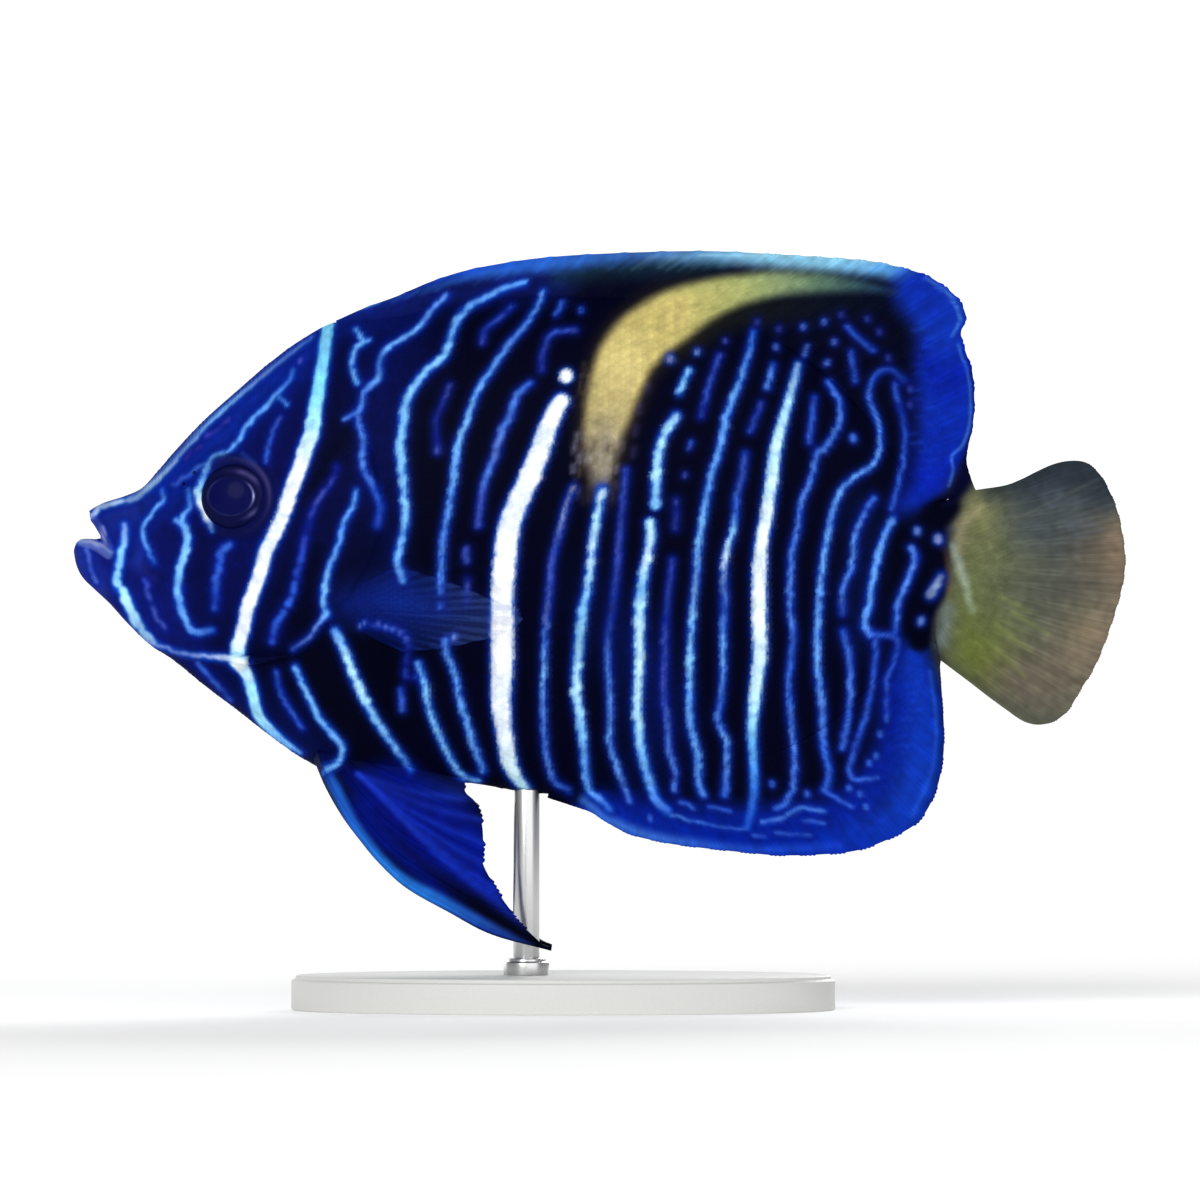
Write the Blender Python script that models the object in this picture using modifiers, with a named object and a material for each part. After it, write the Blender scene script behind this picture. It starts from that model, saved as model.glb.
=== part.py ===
"""Arabian angelfish, half grown, as a still life-size model on a plain display stand.

The fish is described in its own measures, in millimetres: "back" runs from the tip of the
lower jaw to the end of the tail, and "up" is the height over the long axis of the body.
The head points to -X, the left side faces -Y, and the stand rests on z = 0.
"""

import math

import bmesh
import bpy
import numpy as np
from mathutils import Vector

MM = 0.001
TOTAL_LENGTH = 120.0
AXIS_HEIGHT = 51.3
BODY_END = 100.0
GAP = 0.3

# Side view of the body without its fins, as (back, up).
BACK_LINE = [
    (0.0, 1.0), (0.3, 2.9), (0.8, 4.3), (1.7, 5.6), (3.1, 6.5), (5.8, 7.4), (7.6, 8.2), (9.5, 10.2),
    (11.3, 12.3), (14.9, 16.1), (18.6, 19.4), (22.2, 22.5), (25.9, 25.2), (29.5, 27.1), (37.3, 28.5),
    (44.1, 30.2), (53.2, 31.1), (62.4, 31.1), (71.5, 30.0), (80.6, 26.8), (86.3, 22.6), (90.9, 17.7),
    (94.8, 12.0), (97.7, 8.4), (100.0, 6.8),
]
BELLY_LINE = [
    (0.0, 1.0), (0.2, -0.2), (0.8, -1.7), (2.2, -3.3), (4.0, -5.0), (5.8, -7.0), (7.6, -8.8),
    (9.5, -10.3), (11.3, -11.5), (14.9, -14.4), (18.6, -17.2), (22.2, -20.0), (25.9, -22.6),
    (29.3, -24.2), (37.3, -24.8), (45.0, -25.5), (53.2, -26.7), (62.4, -27.0), (71.5, -26.4),
    (80.6, -23.9), (86.3, -20.7), (90.9, -16.5), (94.8, -12.5), (97.7, -9.9), (100.0, -8.6),
]
WIDEST_LINE = [(0.0, 1.0), (6.0, 0.0), (18.0, 2.0), (35.0, 2.5), (60.0, 3.0), (80.0, 1.5), (100.0, -0.9)]
HALF_WIDTH = [
    (0.0, 0.0), (0.3, 0.9), (1.0, 1.6), (2.0, 2.2), (3.1, 2.65), (5.8, 3.5), (9.5, 4.6), (14.9, 6.0),
    (18.6, 6.9), (25.9, 8.4), (33.0, 9.3), (42.0, 9.7), (52.0, 9.4), (62.0, 8.6), (72.0, 7.3),
    (80.6, 5.9), (86.3, 4.7), (90.9, 3.7), (94.8, 3.0), (97.7, 2.5), (100.0, 2.2),
]
# How fast a cross-section narrows towards the back and the belly: 0.5 is round, 1 is a keel.
BACK_KEEL = [(0.0, 0.5), (8.0, 0.55), (20.0, 0.62), (40.0, 0.75), (80.0, 0.75), (100.0, 0.5)]
BELLY_KEEL = [(0.0, 0.5), (10.0, 0.55), (30.0, 0.55), (50.0, 0.62), (80.0, 0.75), (100.0, 0.5)]
SECTION_POWER = 2.0
BODY_STATIONS = 40
NORMAL_REACH = 0.5
WELD_DISTANCE = 0.001
PLATE_HALF_DEPTH = 30.0
SECTION_POINTS = 28
STATION_CROWDING = 1.35

# The gill opening, which parts the head from the trunk, and the edge of the cheek in front of it.
GILL_LINE = [
    (28.6, 31.5), (30.8, 22.0), (32.4, 16.0), (34.2, 11.6), (35.4, 6.6), (35.2, 3.0), (33.6, -0.8),
    (31.5, -4.0), (29.2, -7.2), (26.8, -10.2), (24.4, -11.8), (21.6, -12.4), (19.0, -12.3),
    (14.5, -11.8), (10.6, -10.6), (7.0, -9.6),
]
GILL_COVER_FROM, GILL_COVER_TO = 2, 12
CHEEK_EDGE = [(30.2, 14.6), (27.2, 11.6), (25.3, 8.0), (23.2, 2.8), (21.8, -1.1), (20.4, -5.7), (19.6, -9.1)]
GILL_COVER_PROUD = 0.35
GILL_COVER_DEPTH = 0.8
POCKET_HEADROOM = 0.1
STALK_LINE = [(95.4, 18.0), (94.9, 6.0), (94.7, -1.0), (94.9, -8.0), (95.4, -19.0)]
# Where the middle of each part of the body lies: before this place along the fish.
BODY_BORDERS = [("lower_jaw", 4.5), ("head", 22.0), ("trunk", 85.0), ("tail_stalk", 101.0)]

MOUTH_CORNER = (4.2, 0.9)
MOUTH_OPENING = [(3.05, 2.4), (2.85, 3.3), (2.2, 4.2), (1.7, 5.1), (0.2, 7.4), (-2.5, 7.4), (-2.5, 2.3), (0.3, 2.2)]
JAW_LINE = [(2.65, 2.9), (3.3, 1.95), MOUTH_CORNER, (5.6, -1.6), (6.5, -4.6), (6.9, -11.5)]
UPPER_LIP = [(4.1, 3.05, 1.45), (3.2, 2.7, 3.1), (2.55, 1.7, 4.3), (2.3, 0.0, 4.75)]
LOWER_LIP = [(4.0, 3.0, 0.55), (2.5, 2.35, 1.5), (1.1, 1.45, 1.85), (0.55, 0.0, 1.85)]
LIP_RADIUS = 0.42

EYE_PLACE = (18.25, 7.2)
EYE_RADIUS = 3.8
EYE_DEPTH = 1.9
EYE_SUNK = 0.7
EYE_SEGMENTS, EYE_RINGS = 22, 8
EYE_RIM_AT, EYE_RIM_RADIUS = 4.55, 0.38
EYE_RIM_SEGMENTS = (24, 5)
NOSTRILS = [(12.7, 8.6), (13.9, 9.9)]
NOSTRIL_RADIUS, NOSTRIL_RIM = 0.36, 0.15
NOSTRIL_SEGMENTS = (8, 5)
CHEEK_SPINE = [(17.0, -10.8, -0.7), (20.4, -11.4, 1.3), (24.6, -10.9, 1.05)]
CHEEK_SPINE_RADII = (0.62, 0.5, 0.12)

# Edges of the fins as (back, up), from the front of each fin round to its rear end.
DORSAL_EDGE = [
    (29.9, 27.3), (33.2, 28.8), (36.8, 30.1), (40.5, 31.7), (44.1, 32.9), (47.8, 33.7), (53.2, 34.5),
    (60.5, 35.0), (71.5, 35.3), (80.6, 34.9), (89.7, 34.3), (93.4, 33.7), (97.0, 32.7), (99.0, 31.6),
    (100.9, 30.0), (101.8, 28.3), (101.8, 27.3), (101.3, 25.9), (101.8, 23.9), (102.6, 21.4),
    (102.8, 17.7), (102.5, 14.8), (101.9, 12.3), (102.0, 10.4), (102.6, 8.5),
]
DORSAL_BASE = (30.4, 97.4)
SPINY_SHARE = 0.53
DORSAL_SPINES, DORSAL_SOFT_RAYS = 12, 19
ANAL_EDGE = [
    (54.0, -27.1), (55.1, -27.5), (58.7, -28.7), (60.5, -29.8), (62.4, -30.9), (64.2, -31.6),
    (67.8, -32.4), (71.5, -32.9), (77.0, -33.5), (80.6, -33.8), (85.2, -33.7), (88.6, -33.4),
    (91.5, -32.6), (95.3, -30.8), (97.1, -29.1), (98.5, -26.2), (99.2, -22.8), (99.3, -19.4),
    (99.0, -14.8), (98.7, -12.4), (98.1, -10.9),
]
ANAL_BASE = (54.6, 97.0)
ANAL_RAYS = 20
FIN_ROOT_SUNK = 2.2
TAIL_EDGE = [
    (102.9, 8.0), (106.1, 8.5), (108.0, 9.2), (109.8, 10.1), (111.6, 10.9), (113.4, 11.3),
    (115.3, 11.2), (116.6, 10.3), (117.6, 9.0), (118.9, 6.2), (119.6, 3.4), (120.0, 0.2),
    (119.8, -2.2), (119.2, -4.8), (117.8, -9.1), (116.4, -12.4), (114.9, -14.8), (113.6, -17.0),
    (112.1, -18.3), (110.2, -18.8), (108.3, -18.4), (106.5, -17.2), (104.3, -15.6), (102.5, -14.2),
    (98.8, -11.4),
]
TAIL_ROOT = [(98.2, 6.4), (98.2, -8.5)]
TAIL_RAYS = 17
TAIL_UPPER_SHARE, TAIL_LOWER_SHARE = 0.19, 0.79

PECTORAL_ROOT = [(31.9, -3.6), (32.5, -7.7)]
PECTORAL_EDGE = [
    (37.1, -0.7), (41.8, -2.1), (47.5, -4.3), (51.4, -6.0), (50.0, -8.0), (46.4, -9.2), (41.8, -10.1),
    (37.6, -10.4),
]
PECTORAL_RAYS = 14
PECTORAL_SUNK, PECTORAL_FLARE = 0.9, 5.4
PELVIC_LEAD = [
    (27.5, -22.0), (29.0, -25.6), (31.0, -29.1), (33.1, -31.9), (35.2, -34.4), (38.3, -37.2), (43.1, -39.9),
    (47.9, -42.4), (54.5, -44.2),
]
PELVIC_EDGE = [
    (54.5, -44.2), (52.7, -42.6), (51.1, -41.2), (49.0, -38.5), (47.8, -36.5), (46.9, -34.4),
    (47.0, -31.7), (46.6, -29.0), (46.0, -27.4), (45.2, -26.5),
]
PELVIC_ROOT_LENGTH = 4.6
PELVIC_RAYS = 6
PELVIC_LEAD_OUT, PELVIC_INNER_OUT = (2.6, 7.2), (2.0, 1.7)

# Rays: their width as a share of their spacing, and how far a branched one spreads and from where on.
RAY_SHARE = 0.34
BRANCH_SPREAD = 0.26
BRANCH_FROM, BRANCH_OVER = 0.4, 0.25

# Rows of a fin's mesh from root to edge, and half thicknesses of web and rays as (root, edge, power).
SPINY_ROWS = (0.0, 0.6, 1.0)
SOFT_ROWS = (0.0, 0.42, 0.7, 1.0)
PECTORAL_ROWS = (0.0, 0.15, 0.35, 0.65, 1.0)
PELVIC_ROWS = (0.0, 0.2, 0.4, 0.6, 0.8, 1.0)
TAIL_HEEL = 0.22
TAIL_ROWS = (0.0, TAIL_HEEL, 0.4, 0.6, 0.8, 1.0)
SPINY_WEB, SPINY_RAY = (1.5, 0.28, 1.0), (1.8, 0.42, 1.0)
SOFT_WEB, SOFT_RAY = (1.4, 0.26, 1.0), (1.65, 0.4, 1.0)
ANAL_WEB, ANAL_RAY = (1.5, 0.26, 1.0), (1.75, 0.4, 1.0)
TAIL_WEB, TAIL_RAY = (1.5, 0.25, 0.6), (1.8, 0.36, 0.6)
PECTORAL_WEB, PECTORAL_RAY = (0.8, 0.25, 0.4), (0.9, 0.34, 0.4)
PELVIC_WEB, PELVIC_RAY = (0.75, 0.25, 0.6), (0.95, 0.3, 0.6)
# How far the web's edge draws in between the rays.
SPINY_NOTCH, SOFT_NOTCH, TAIL_NOTCH = 0.07, 0.02, 0.015
ROOT_SAMPLES = 60
# Length of the dorsal fin over which the gap between its two parts is counted.
SEAM_LENGTH = 80.0

STAND_AT = -4.2
BASE_SIZE = (62.0, 40.0)
BASE_THICKNESS = 4.0
BASE_EDGE = 0.8
ROD_BACK = 51.6
ROD_RADIUS = 1.5
ROD_INTO_BELLY = 1.5
BASE_SEGMENTS, ROD_SEGMENTS = 48, 20
EDGE_SEGMENTS = 2

# Plain colours of the solids as (colour, roughness, metallic).
COLOURS = {
    "skin": ((0.006, 0.02, 0.22), 0.4, 0.0),
    "tail": ((0.13, 0.14, 0.09), 0.45, 0.0),
    "pectoral": ((0.05, 0.12, 0.4), 0.35, 0.0),
    "eye": ((0.004, 0.005, 0.03), 0.08, 0.0),
    "stand_paint": ((0.62, 0.62, 0.6), 0.5, 0.0),
    "stand_steel": ((0.6, 0.6, 0.6), 0.3, 1.0),
}
SMOOTH_ANGLE = 40.0

PARTS, CUTTERS = "angelfish", "angelfish_cutters"


# Measures and curves

def place(back, side, up):
    """World position of a point of the fish, side being the distance from its middle plane."""
    return Vector(((back - TOTAL_LENGTH / 2) * MM, side * MM, (AXIS_HEIGHT + up) * MM))


def steady_curve(table):
    """A smooth function through the table's points that never swings past them."""
    xs, ys = (np.array(column, float) for column in zip(*table))
    steps = np.diff(xs)
    rises = np.diff(ys) / steps
    slopes = np.concatenate([[rises[0]], np.zeros(len(rises) - 1), [rises[-1]]])
    for i in range(1, len(rises)):
        if rises[i - 1] * rises[i] > 0:
            before, after = 2 * steps[i] + steps[i - 1], steps[i] + 2 * steps[i - 1]
            slopes[i] = (before + after) / (before / rises[i - 1] + after / rises[i])

    def value(x):
        i = int(np.clip(np.searchsorted(xs, x) - 1, 0, len(steps) - 1))
        t = min(max((x - xs[i]) / steps[i], 0.0), 1.0)
        start = (1 + 2 * t) * (1 - t) ** 2 * ys[i] + t * (1 - t) ** 2 * steps[i] * slopes[i]
        end = t * t * (3 - 2 * t) * ys[i + 1] + t * t * (t - 1) * steps[i] * slopes[i + 1]
        return start + end

    return value


def drawn_curve(points, per_span=6):
    """A Catmull-Rom curve through the points, as a fine chain."""
    points = [np.array(p, float) for p in points]
    ends = [2 * points[0] - points[1], *points, 2 * points[-1] - points[-2]]
    chain = []
    for a, b, c, d in zip(ends, ends[1:], ends[2:], ends[3:]):
        for step in range(per_span):
            t = step / per_span
            chain.append(
                0.5 * (2 * b + (c - a) * t + (2 * a - 5 * b + 4 * c - d) * t**2
                       + (3 * b - a - 3 * c + d) * t**3)
            )
    chain.append(points[-1])
    return np.array(chain)


def share_reader(chain):
    """A function that gives the point at a share of the chain's length."""
    lengths = np.concatenate([[0.0], np.cumsum(np.linalg.norm(np.diff(chain, axis=0), axis=1))])

    def at(share):
        wanted = min(max(share, 0.0), 1.0) * lengths[-1]
        return np.array([np.interp(wanted, lengths, chain[:, k]) for k in range(chain.shape[1])])

    return at


back_line, belly_line = steady_curve(BACK_LINE), steady_curve(BELLY_LINE)
widest_line, half_width = steady_curve(WIDEST_LINE), steady_curve(HALF_WIDTH)
back_keel, belly_keel = steady_curve(BACK_KEEL), steady_curve(BELLY_KEEL)


def section_half(back, share):
    """Half width of a cross-section, share being -1 at the belly, 0 at the widest and 1 at the back."""
    keel = back_keel(back) if share > 0 else belly_keel(back)
    return half_width(back) * max(1 - abs(share) ** SECTION_POWER, 0.0) ** keel


def section_up(back, share):
    """Height of that point of the cross-section."""
    middle = widest_line(back)
    reach = back_line(back) - middle if share > 0 else middle - belly_line(back)
    return middle + reach * share


def flank(back, up):
    """Half width of the body at a place of its side view."""
    middle = widest_line(back)
    reach = back_line(back) - middle if up > middle else middle - belly_line(back)
    return section_half(back, (up - middle) / reach)


def flank_normal(back, up):
    """Outward direction of the left side there, as (back, side, up)."""
    along = flank(back + NORMAL_REACH, up) - flank(back - NORMAL_REACH, up)
    over = flank(back, up + NORMAL_REACH) - flank(back, up - NORMAL_REACH)
    return Vector((-along, -2 * NORMAL_REACH, -over)).normalized()


# Objects

def collection(name):
    made = bpy.data.collections.new(name)
    bpy.context.scene.collection.children.link(made)
    return made


def material(name, colour, roughness, metallic):
    made = bpy.data.materials.new(name)
    made.use_nodes = True
    shader = made.node_tree.nodes["Principled BSDF"]
    shader.inputs["Base Color"].default_value = (*colour, 1.0)
    shader.inputs["Roughness"].default_value = roughness
    shader.inputs["Metallic"].default_value = metallic


def new_object(name, mesh, home, finish=None):
    made = bpy.data.objects.new(name, mesh)
    bpy.data.collections[home].objects.link(made)
    if finish:
        mesh.materials.clear()
        mesh.materials.append(bpy.data.materials[finish])
    return made


def from_bmesh(name, shape, home, finish=None):
    bmesh.ops.recalc_face_normals(shape, faces=shape.faces)
    if shape.calc_volume(signed=True) < 0:
        bmesh.ops.reverse_faces(shape, faces=shape.faces)
    mesh = bpy.data.meshes.new(name)
    shape.to_mesh(mesh)
    shape.free()
    return new_object(name, mesh, home, finish)


def remove(*objects):
    for obj in objects:
        bpy.data.objects.remove(obj)


def boolean(target, operation, other=None, group=None):
    """Applies one Boolean to the target with another object, or with all in a collection."""
    cut = target.modifiers.new(operation.lower(), "BOOLEAN")
    cut.operation = operation
    cut.solver = "EXACT"
    if group:
        cut.operand_type = "COLLECTION"
        cut.collection = group
    else:
        cut.object = other
    bpy.context.view_layer.update()
    graph = bpy.context.evaluated_depsgraph_get()
    mesh = bpy.data.meshes.new_from_object(target.evaluated_get(graph))
    target.modifiers.clear()
    target.data = mesh


def closed_bodies(obj):
    """The faces of the object's separate closed bodies, the largest body first."""
    shape = bmesh.new()
    shape.from_mesh(obj.data)
    left, bodies = set(shape.faces), []
    while left:
        queue = [left.pop()]
        reached = set(queue)
        while queue:
            found = {face for edge in queue.pop().edges for face in edge.link_faces} - reached
            reached |= found
            queue.extend(found)
        left -= reached
        bodies.append(reached)
    bodies.sort(key=lambda faces: -sum(face.calc_area() for face in faces))
    return shape, bodies


def split_off(obj, names, finish, centre_of):
    """Parts the object into the named nodes, largest bodies first, each named by centre_of(its middle)."""
    shape, bodies = closed_bodies(obj)
    found = {}
    for faces in bodies[: len(names)]:
        corners = {vertex for face in faces for vertex in face.verts}
        middle = sum((v.co for v in corners), Vector()) / len(corners)
        index = {vertex: n for n, vertex in enumerate(corners)}
        mesh = bpy.data.meshes.new(obj.name)
        mesh.from_pydata([v.co for v in index], [], [[index[v] for v in face.verts] for face in faces])
        name = centre_of(middle)
        found[name] = new_object(name, mesh, PARTS, finish)
    shape.free()
    remove(obj)
    if set(found) != set(names):
        raise RuntimeError(f"parted {sorted(found)} where {sorted(names)} were wanted")
    return found


def keep_largest(obj):
    shape, bodies = closed_bodies(obj)
    loose = [face for faces in bodies[1:] for face in faces]
    bmesh.ops.delete(shape, geom=loose, context="FACES")
    shape.to_mesh(obj.data)
    shape.free()


# Cutters

def plate(name, outline):
    """A flat outline of the side view, as a closed prism through the whole fish."""
    curve = bpy.data.curves.new(name, "CURVE")
    curve.dimensions = "2D"
    curve.fill_mode = "BOTH"
    curve.extrude = PLATE_HALF_DEPTH * MM
    spline = curve.splines.new("POLY")
    spline.points.add(len(outline) - 1)
    spline.use_cyclic_u = True
    for point, (back, up) in zip(spline.points, outline):
        at = place(back, 0.0, up)
        point.co = (at.x, at.z, 0.0, 1.0)
    holder = new_object(name, curve, CUTTERS)
    holder.rotation_euler = (math.pi / 2, 0.0, 0.0)
    return as_mesh(holder)


def as_mesh(holder):
    """The curve object's closed mesh in world places, in an object of the same name."""
    bpy.context.view_layer.update()
    graph = bpy.context.evaluated_depsgraph_get()
    mesh = bpy.data.meshes.new_from_object(holder.evaluated_get(graph))
    mesh.transform(holder.matrix_world)
    name, home = holder.name, holder.users_collection[0].name
    remove(holder)
    shape = bmesh.new()
    shape.from_mesh(mesh)
    bmesh.ops.remove_doubles(shape, verts=shape.verts, dist=WELD_DISTANCE * MM)
    return from_bmesh(name, shape, home)


def wall(name, line, thickness=GAP):
    """A thin wall that stands on a line of the side view and parts what it crosses."""
    line = [np.array(p, float) for p in line]
    sides = ([], [])
    for i, point in enumerate(line):
        ahead = line[min(i + 1, len(line) - 1)] - line[max(i - 1, 0)]
        across = np.array([-ahead[1], ahead[0]]) / np.linalg.norm(ahead)
        sides[0].append(point + across * thickness / 2)
        sides[1].append(point - across * thickness / 2)
    return plate(name, sides[0] + sides[1][::-1])


def grown(outline, distance):
    """The closed outline with each corner moved outwards."""
    points = np.array(outline, float)
    ahead = np.roll(points, -1, axis=0) - np.roll(points, 1, axis=0)
    outward = np.column_stack([ahead[:, 1], -ahead[:, 0]]) / np.linalg.norm(ahead, axis=1)[:, None]
    turned = np.sum(points[:, 0] * np.roll(points[:, 1], -1) - np.roll(points[:, 0], -1) * points[:, 1])
    return points + outward * math.copysign(distance, turned)


def tube(name, points, radii, home):
    """A round tube through (back, side, up) points with its own radius at each."""
    curve = bpy.data.curves.new(name, "CURVE")
    curve.dimensions = "3D"
    curve.bevel_depth = MM
    curve.bevel_resolution = 1
    curve.use_fill_caps = True
    spline = curve.splines.new("POLY")
    chain = drawn_curve(np.column_stack([points, radii]), per_span=3)
    spline.points.add(len(chain) - 1)
    for point, (back, side, up, radius) in zip(spline.points, chain):
        point.co = (*place(back, side, up), 1.0)
        point.radius = radius
    return as_mesh(new_object(name, curve, home))


def mirrored(points):
    """A path on the left side, carried on over the middle plane to the right side."""
    left = [(back, -side, up) for back, side, up in points]
    return left + [(back, side, up) for back, side, up in points[-2::-1]]


# The body

def body_shape(name, grown=0.0):
    """The whole body without fins as one closed loft, with its skin moved outwards by grown."""
    shape = bmesh.new()
    rings = []
    for i in range(1, BODY_STATIONS + 1):
        back = BODY_END * (i / BODY_STATIONS) ** STATION_CROWDING
        ring = []
        for k in range(SECTION_POINTS):
            angle = 2 * math.pi * k / SECTION_POINTS
            share = math.sin(angle)
            side = math.copysign(section_half(back, share), math.cos(angle))
            ring.append(shape.verts.new(place(back, side, section_up(back, share))))
        rings.append(ring)
    tip = shape.verts.new(place(0.0, 0.0, BACK_LINE[0][1]))
    for k in range(SECTION_POINTS):
        after = (k + 1) % SECTION_POINTS
        shape.faces.new((tip, rings[0][k], rings[0][after]))
        for front, rear in zip(rings, rings[1:]):
            shape.faces.new((front[k], rear[k], rear[after], front[after]))
    shape.faces.new(rings[-1])
    bmesh.ops.recalc_face_normals(shape, faces=shape.faces)
    shape.normal_update()
    for vertex in shape.verts:
        vertex.co += vertex.normal * grown * MM
    return from_bmesh(name, shape, CUTTERS)


def ring_at(name, back, up, side, radius, tube_radius, home, segments):
    """A small torus that lies on the skin, side being -1 on the left and 1 on the right."""
    normal = flank_normal(back, up)
    normal.y *= -side
    at = place(back, side * flank(back, up), up)
    bpy.ops.mesh.primitive_torus_add(
        major_radius=radius * MM, minor_radius=tube_radius * MM,
        major_segments=segments[0], minor_segments=segments[1],
        location=at, rotation=normal.to_track_quat("Z", "Y").to_euler(),
    )
    return adopt(name, home)


def adopt(name, home):
    """Takes the primitive just added: places go into its mesh, and it moves to the collection."""
    made = bpy.context.active_object
    made.name = made.data.name = name
    bpy.context.view_layer.update()
    made.data.transform(made.matrix_world)
    made.matrix_world.identity()
    for owner in list(made.users_collection):
        owner.objects.unlink(made)
    bpy.data.collections[home].objects.link(made)
    return made


def eye(name, side, grown=0.0, home=PARTS):
    """A flattened ball set into the head, its axis square to the skin."""
    normal = flank_normal(*EYE_PLACE)
    normal.y *= -side
    at = place(EYE_PLACE[0], side * flank(*EYE_PLACE), EYE_PLACE[1]) - normal * EYE_SUNK * MM
    bpy.ops.mesh.primitive_uv_sphere_add(
        segments=EYE_SEGMENTS, ring_count=EYE_RINGS, radius=MM, location=at,
        rotation=normal.to_track_quat("Z", "Y").to_euler(),
        scale=(EYE_RADIUS + grown, EYE_RADIUS + grown, EYE_DEPTH + grown),
    )
    return adopt(name, home)


def head_details():
    """Lips, rims of the eyes and nostrils, and cheek spines, as closed pieces to be joined to the body."""
    group = collection("angelfish_details")
    home = group.name
    for name, path in (("upper_lip", UPPER_LIP), ("lower_lip", LOWER_LIP)):
        points = mirrored(path)
        tube(name, points, [LIP_RADIUS] * len(points), home)
    for side in (-1, 1):
        ring_at("eye_rim", *EYE_PLACE, side, EYE_RIM_AT, EYE_RIM_RADIUS, home, EYE_RIM_SEGMENTS)
        for spot in NOSTRILS:
            ring_at("nostril", *spot, side, NOSTRIL_RADIUS, NOSTRIL_RIM, home, NOSTRIL_SEGMENTS)
        spine = [
            (back, side * (flank(back, up) + out), up) for back, up, out in CHEEK_SPINE
        ]
        tube("cheek_spine", spine, CHEEK_SPINE_RADII, home)
    return group


def build_body():
    """The body, parted into head, lower jaw, gill covers, trunk and tail stalk."""
    body = body_shape("body")
    boolean(body, "DIFFERENCE", plate("mouth", MOUTH_OPENING))
    details = head_details()
    boolean(body, "UNION", group=details)
    remove(*details.objects)
    bpy.data.collections.remove(details)
    for side in (-1, 1):
        boolean(body, "DIFFERENCE", eye("socket", side, GAP, CUTTERS))
    gill_wall = wall("gill_slit", drawn_curve(GILL_LINE, 2))
    for cutter in (gill_wall, wall("jaw_slit", JAW_LINE), wall("stalk_slit", STALK_LINE)):
        boolean(body, "DIFFERENCE", cutter)

    def part_name(middle):
        back = middle.x / MM + TOTAL_LENGTH / 2
        return next(name for name, end in BODY_BORDERS if back < end)

    nodes = split_off(body, [name for name, _ in BODY_BORDERS], "skin", part_name)
    build_gill_covers(nodes["head"], gill_wall)


def build_gill_covers(head, gill_wall):
    """Two plates that stand a little proud of the head, each in a pocket of its own."""
    rear = [tuple(p) for p in drawn_curve(GILL_LINE, 2)[2 * GILL_COVER_FROM : 2 * GILL_COVER_TO + 1]]
    outline = rear + CHEEK_EDGE[::-1]
    covers = body_shape("gill_covers", GILL_COVER_PROUD)
    boolean(covers, "INTERSECT", plate("cover_outline", outline))
    boolean(covers, "DIFFERENCE", body_shape("cover_inside", -GILL_COVER_DEPTH))
    boolean(covers, "DIFFERENCE", gill_wall)

    # The pocket ends just above the cover, so that it spares the cheek spine that lies over it.
    pocket = plate("cover_pocket", grown(outline, GAP))
    boolean(pocket, "INTERSECT", body_shape("pocket_roof", GILL_COVER_PROUD + POCKET_HEADROOM))
    boolean(pocket, "DIFFERENCE", body_shape("pocket_floor", -GILL_COVER_DEPTH - GAP))
    boolean(head, "DIFFERENCE", pocket)
    keep_largest(head)
    split_off(
        covers, ("gill_cover_left", "gill_cover_right"), "skin",
        lambda middle: "gill_cover_left" if middle.y < 0 else "gill_cover_right",
    )


# The fins

def columns_of(rays, branched):
    """Where the lines of a fin's mesh lie: (ray place, offset, spread offset, kind) for each line."""
    spacing = 1.0 / (rays - 1)
    crest, spread = spacing * RAY_SHARE / 2, spacing * BRANCH_SPREAD
    lines = []
    for ray in range(rays):
        at = ray * spacing
        near = -crest if ray else 0.0
        far = crest if ray < rays - 1 else 0.0
        lines.append((at, near, -spread if near and branched else near, "crest"))
        if branched and near and far:
            lines.append((at, 0.0, 0.0, "split"))
        lines.append((at, far, spread if far and branched else far, "crest"))
        if ray < rays - 1:
            lines.append((at + spacing / 2, 0.0, 0.0, "web"))
    return lines


def fin(name, rays, rows, middle, web_taper, ray_taper, finish, branched=True, notch=SOFT_NOTCH):
    """A closed fin: a web of the given half thickness with its rays raised in both faces.

    middle(share, out) is the fin's middle surface as (back, side, up), share running over the
    rays and out from 0 at the root to 1 at the edge.
    """
    lines = columns_of(rays, branched)
    grid = []
    for at, offset, spread_offset, kind in lines:
        column = []
        for out in rows:
            splitting = min(max((out - BRANCH_FROM) / BRANCH_OVER, 0.0), 1.0) if branched else 0.0
            share = min(max(at + offset + (spread_offset - offset) * splitting, 0.0), 1.0)
            reach = out - notch * out**3 if kind == "web" else out
            raised = {"crest": 1.0, "split": 1.0 - splitting, "web": 0.0}[kind]
            web, ray = tapered(out, *web_taper), tapered(out, *ray_taper)
            column.append((middle(share, reach), web + (ray - web) * raised))
        grid.append(column)

    points = np.array([[point for point, _ in column] for column in grid])
    thick = np.array([[half for _, half in column] for column in grid])
    across = np.gradient(points, axis=0)
    outward = np.gradient(points, axis=1)
    normals = np.cross(across, outward)
    normals /= np.linalg.norm(normals, axis=2, keepdims=True)
    if normals[..., 1].mean() > 0:
        normals = -normals

    shape = bmesh.new()
    faces_of = []
    for sign in (1, -1):
        moved = points + sign * normals * thick[..., None]
        faces_of.append([[shape.verts.new(place(*p)) for p in column] for column in moved])
    near, far = faces_of
    last_line, last_row = len(lines) - 1, len(rows) - 1
    for i in range(last_line):
        for j in range(last_row):
            for side in (near, far):
                shape.faces.new((side[i][j], side[i + 1][j], side[i + 1][j + 1]))
                shape.faces.new((side[i][j], side[i + 1][j + 1], side[i][j + 1]))
        for j in (0, last_row):
            shape.faces.new((near[i][j], near[i + 1][j], far[i + 1][j], far[i][j]))
    for i in (0, last_line):
        for j in range(last_row):
            shape.faces.new((near[i][j], near[i][j + 1], far[i][j + 1], far[i][j]))
    return from_bmesh(name, shape, PARTS, finish)


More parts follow.
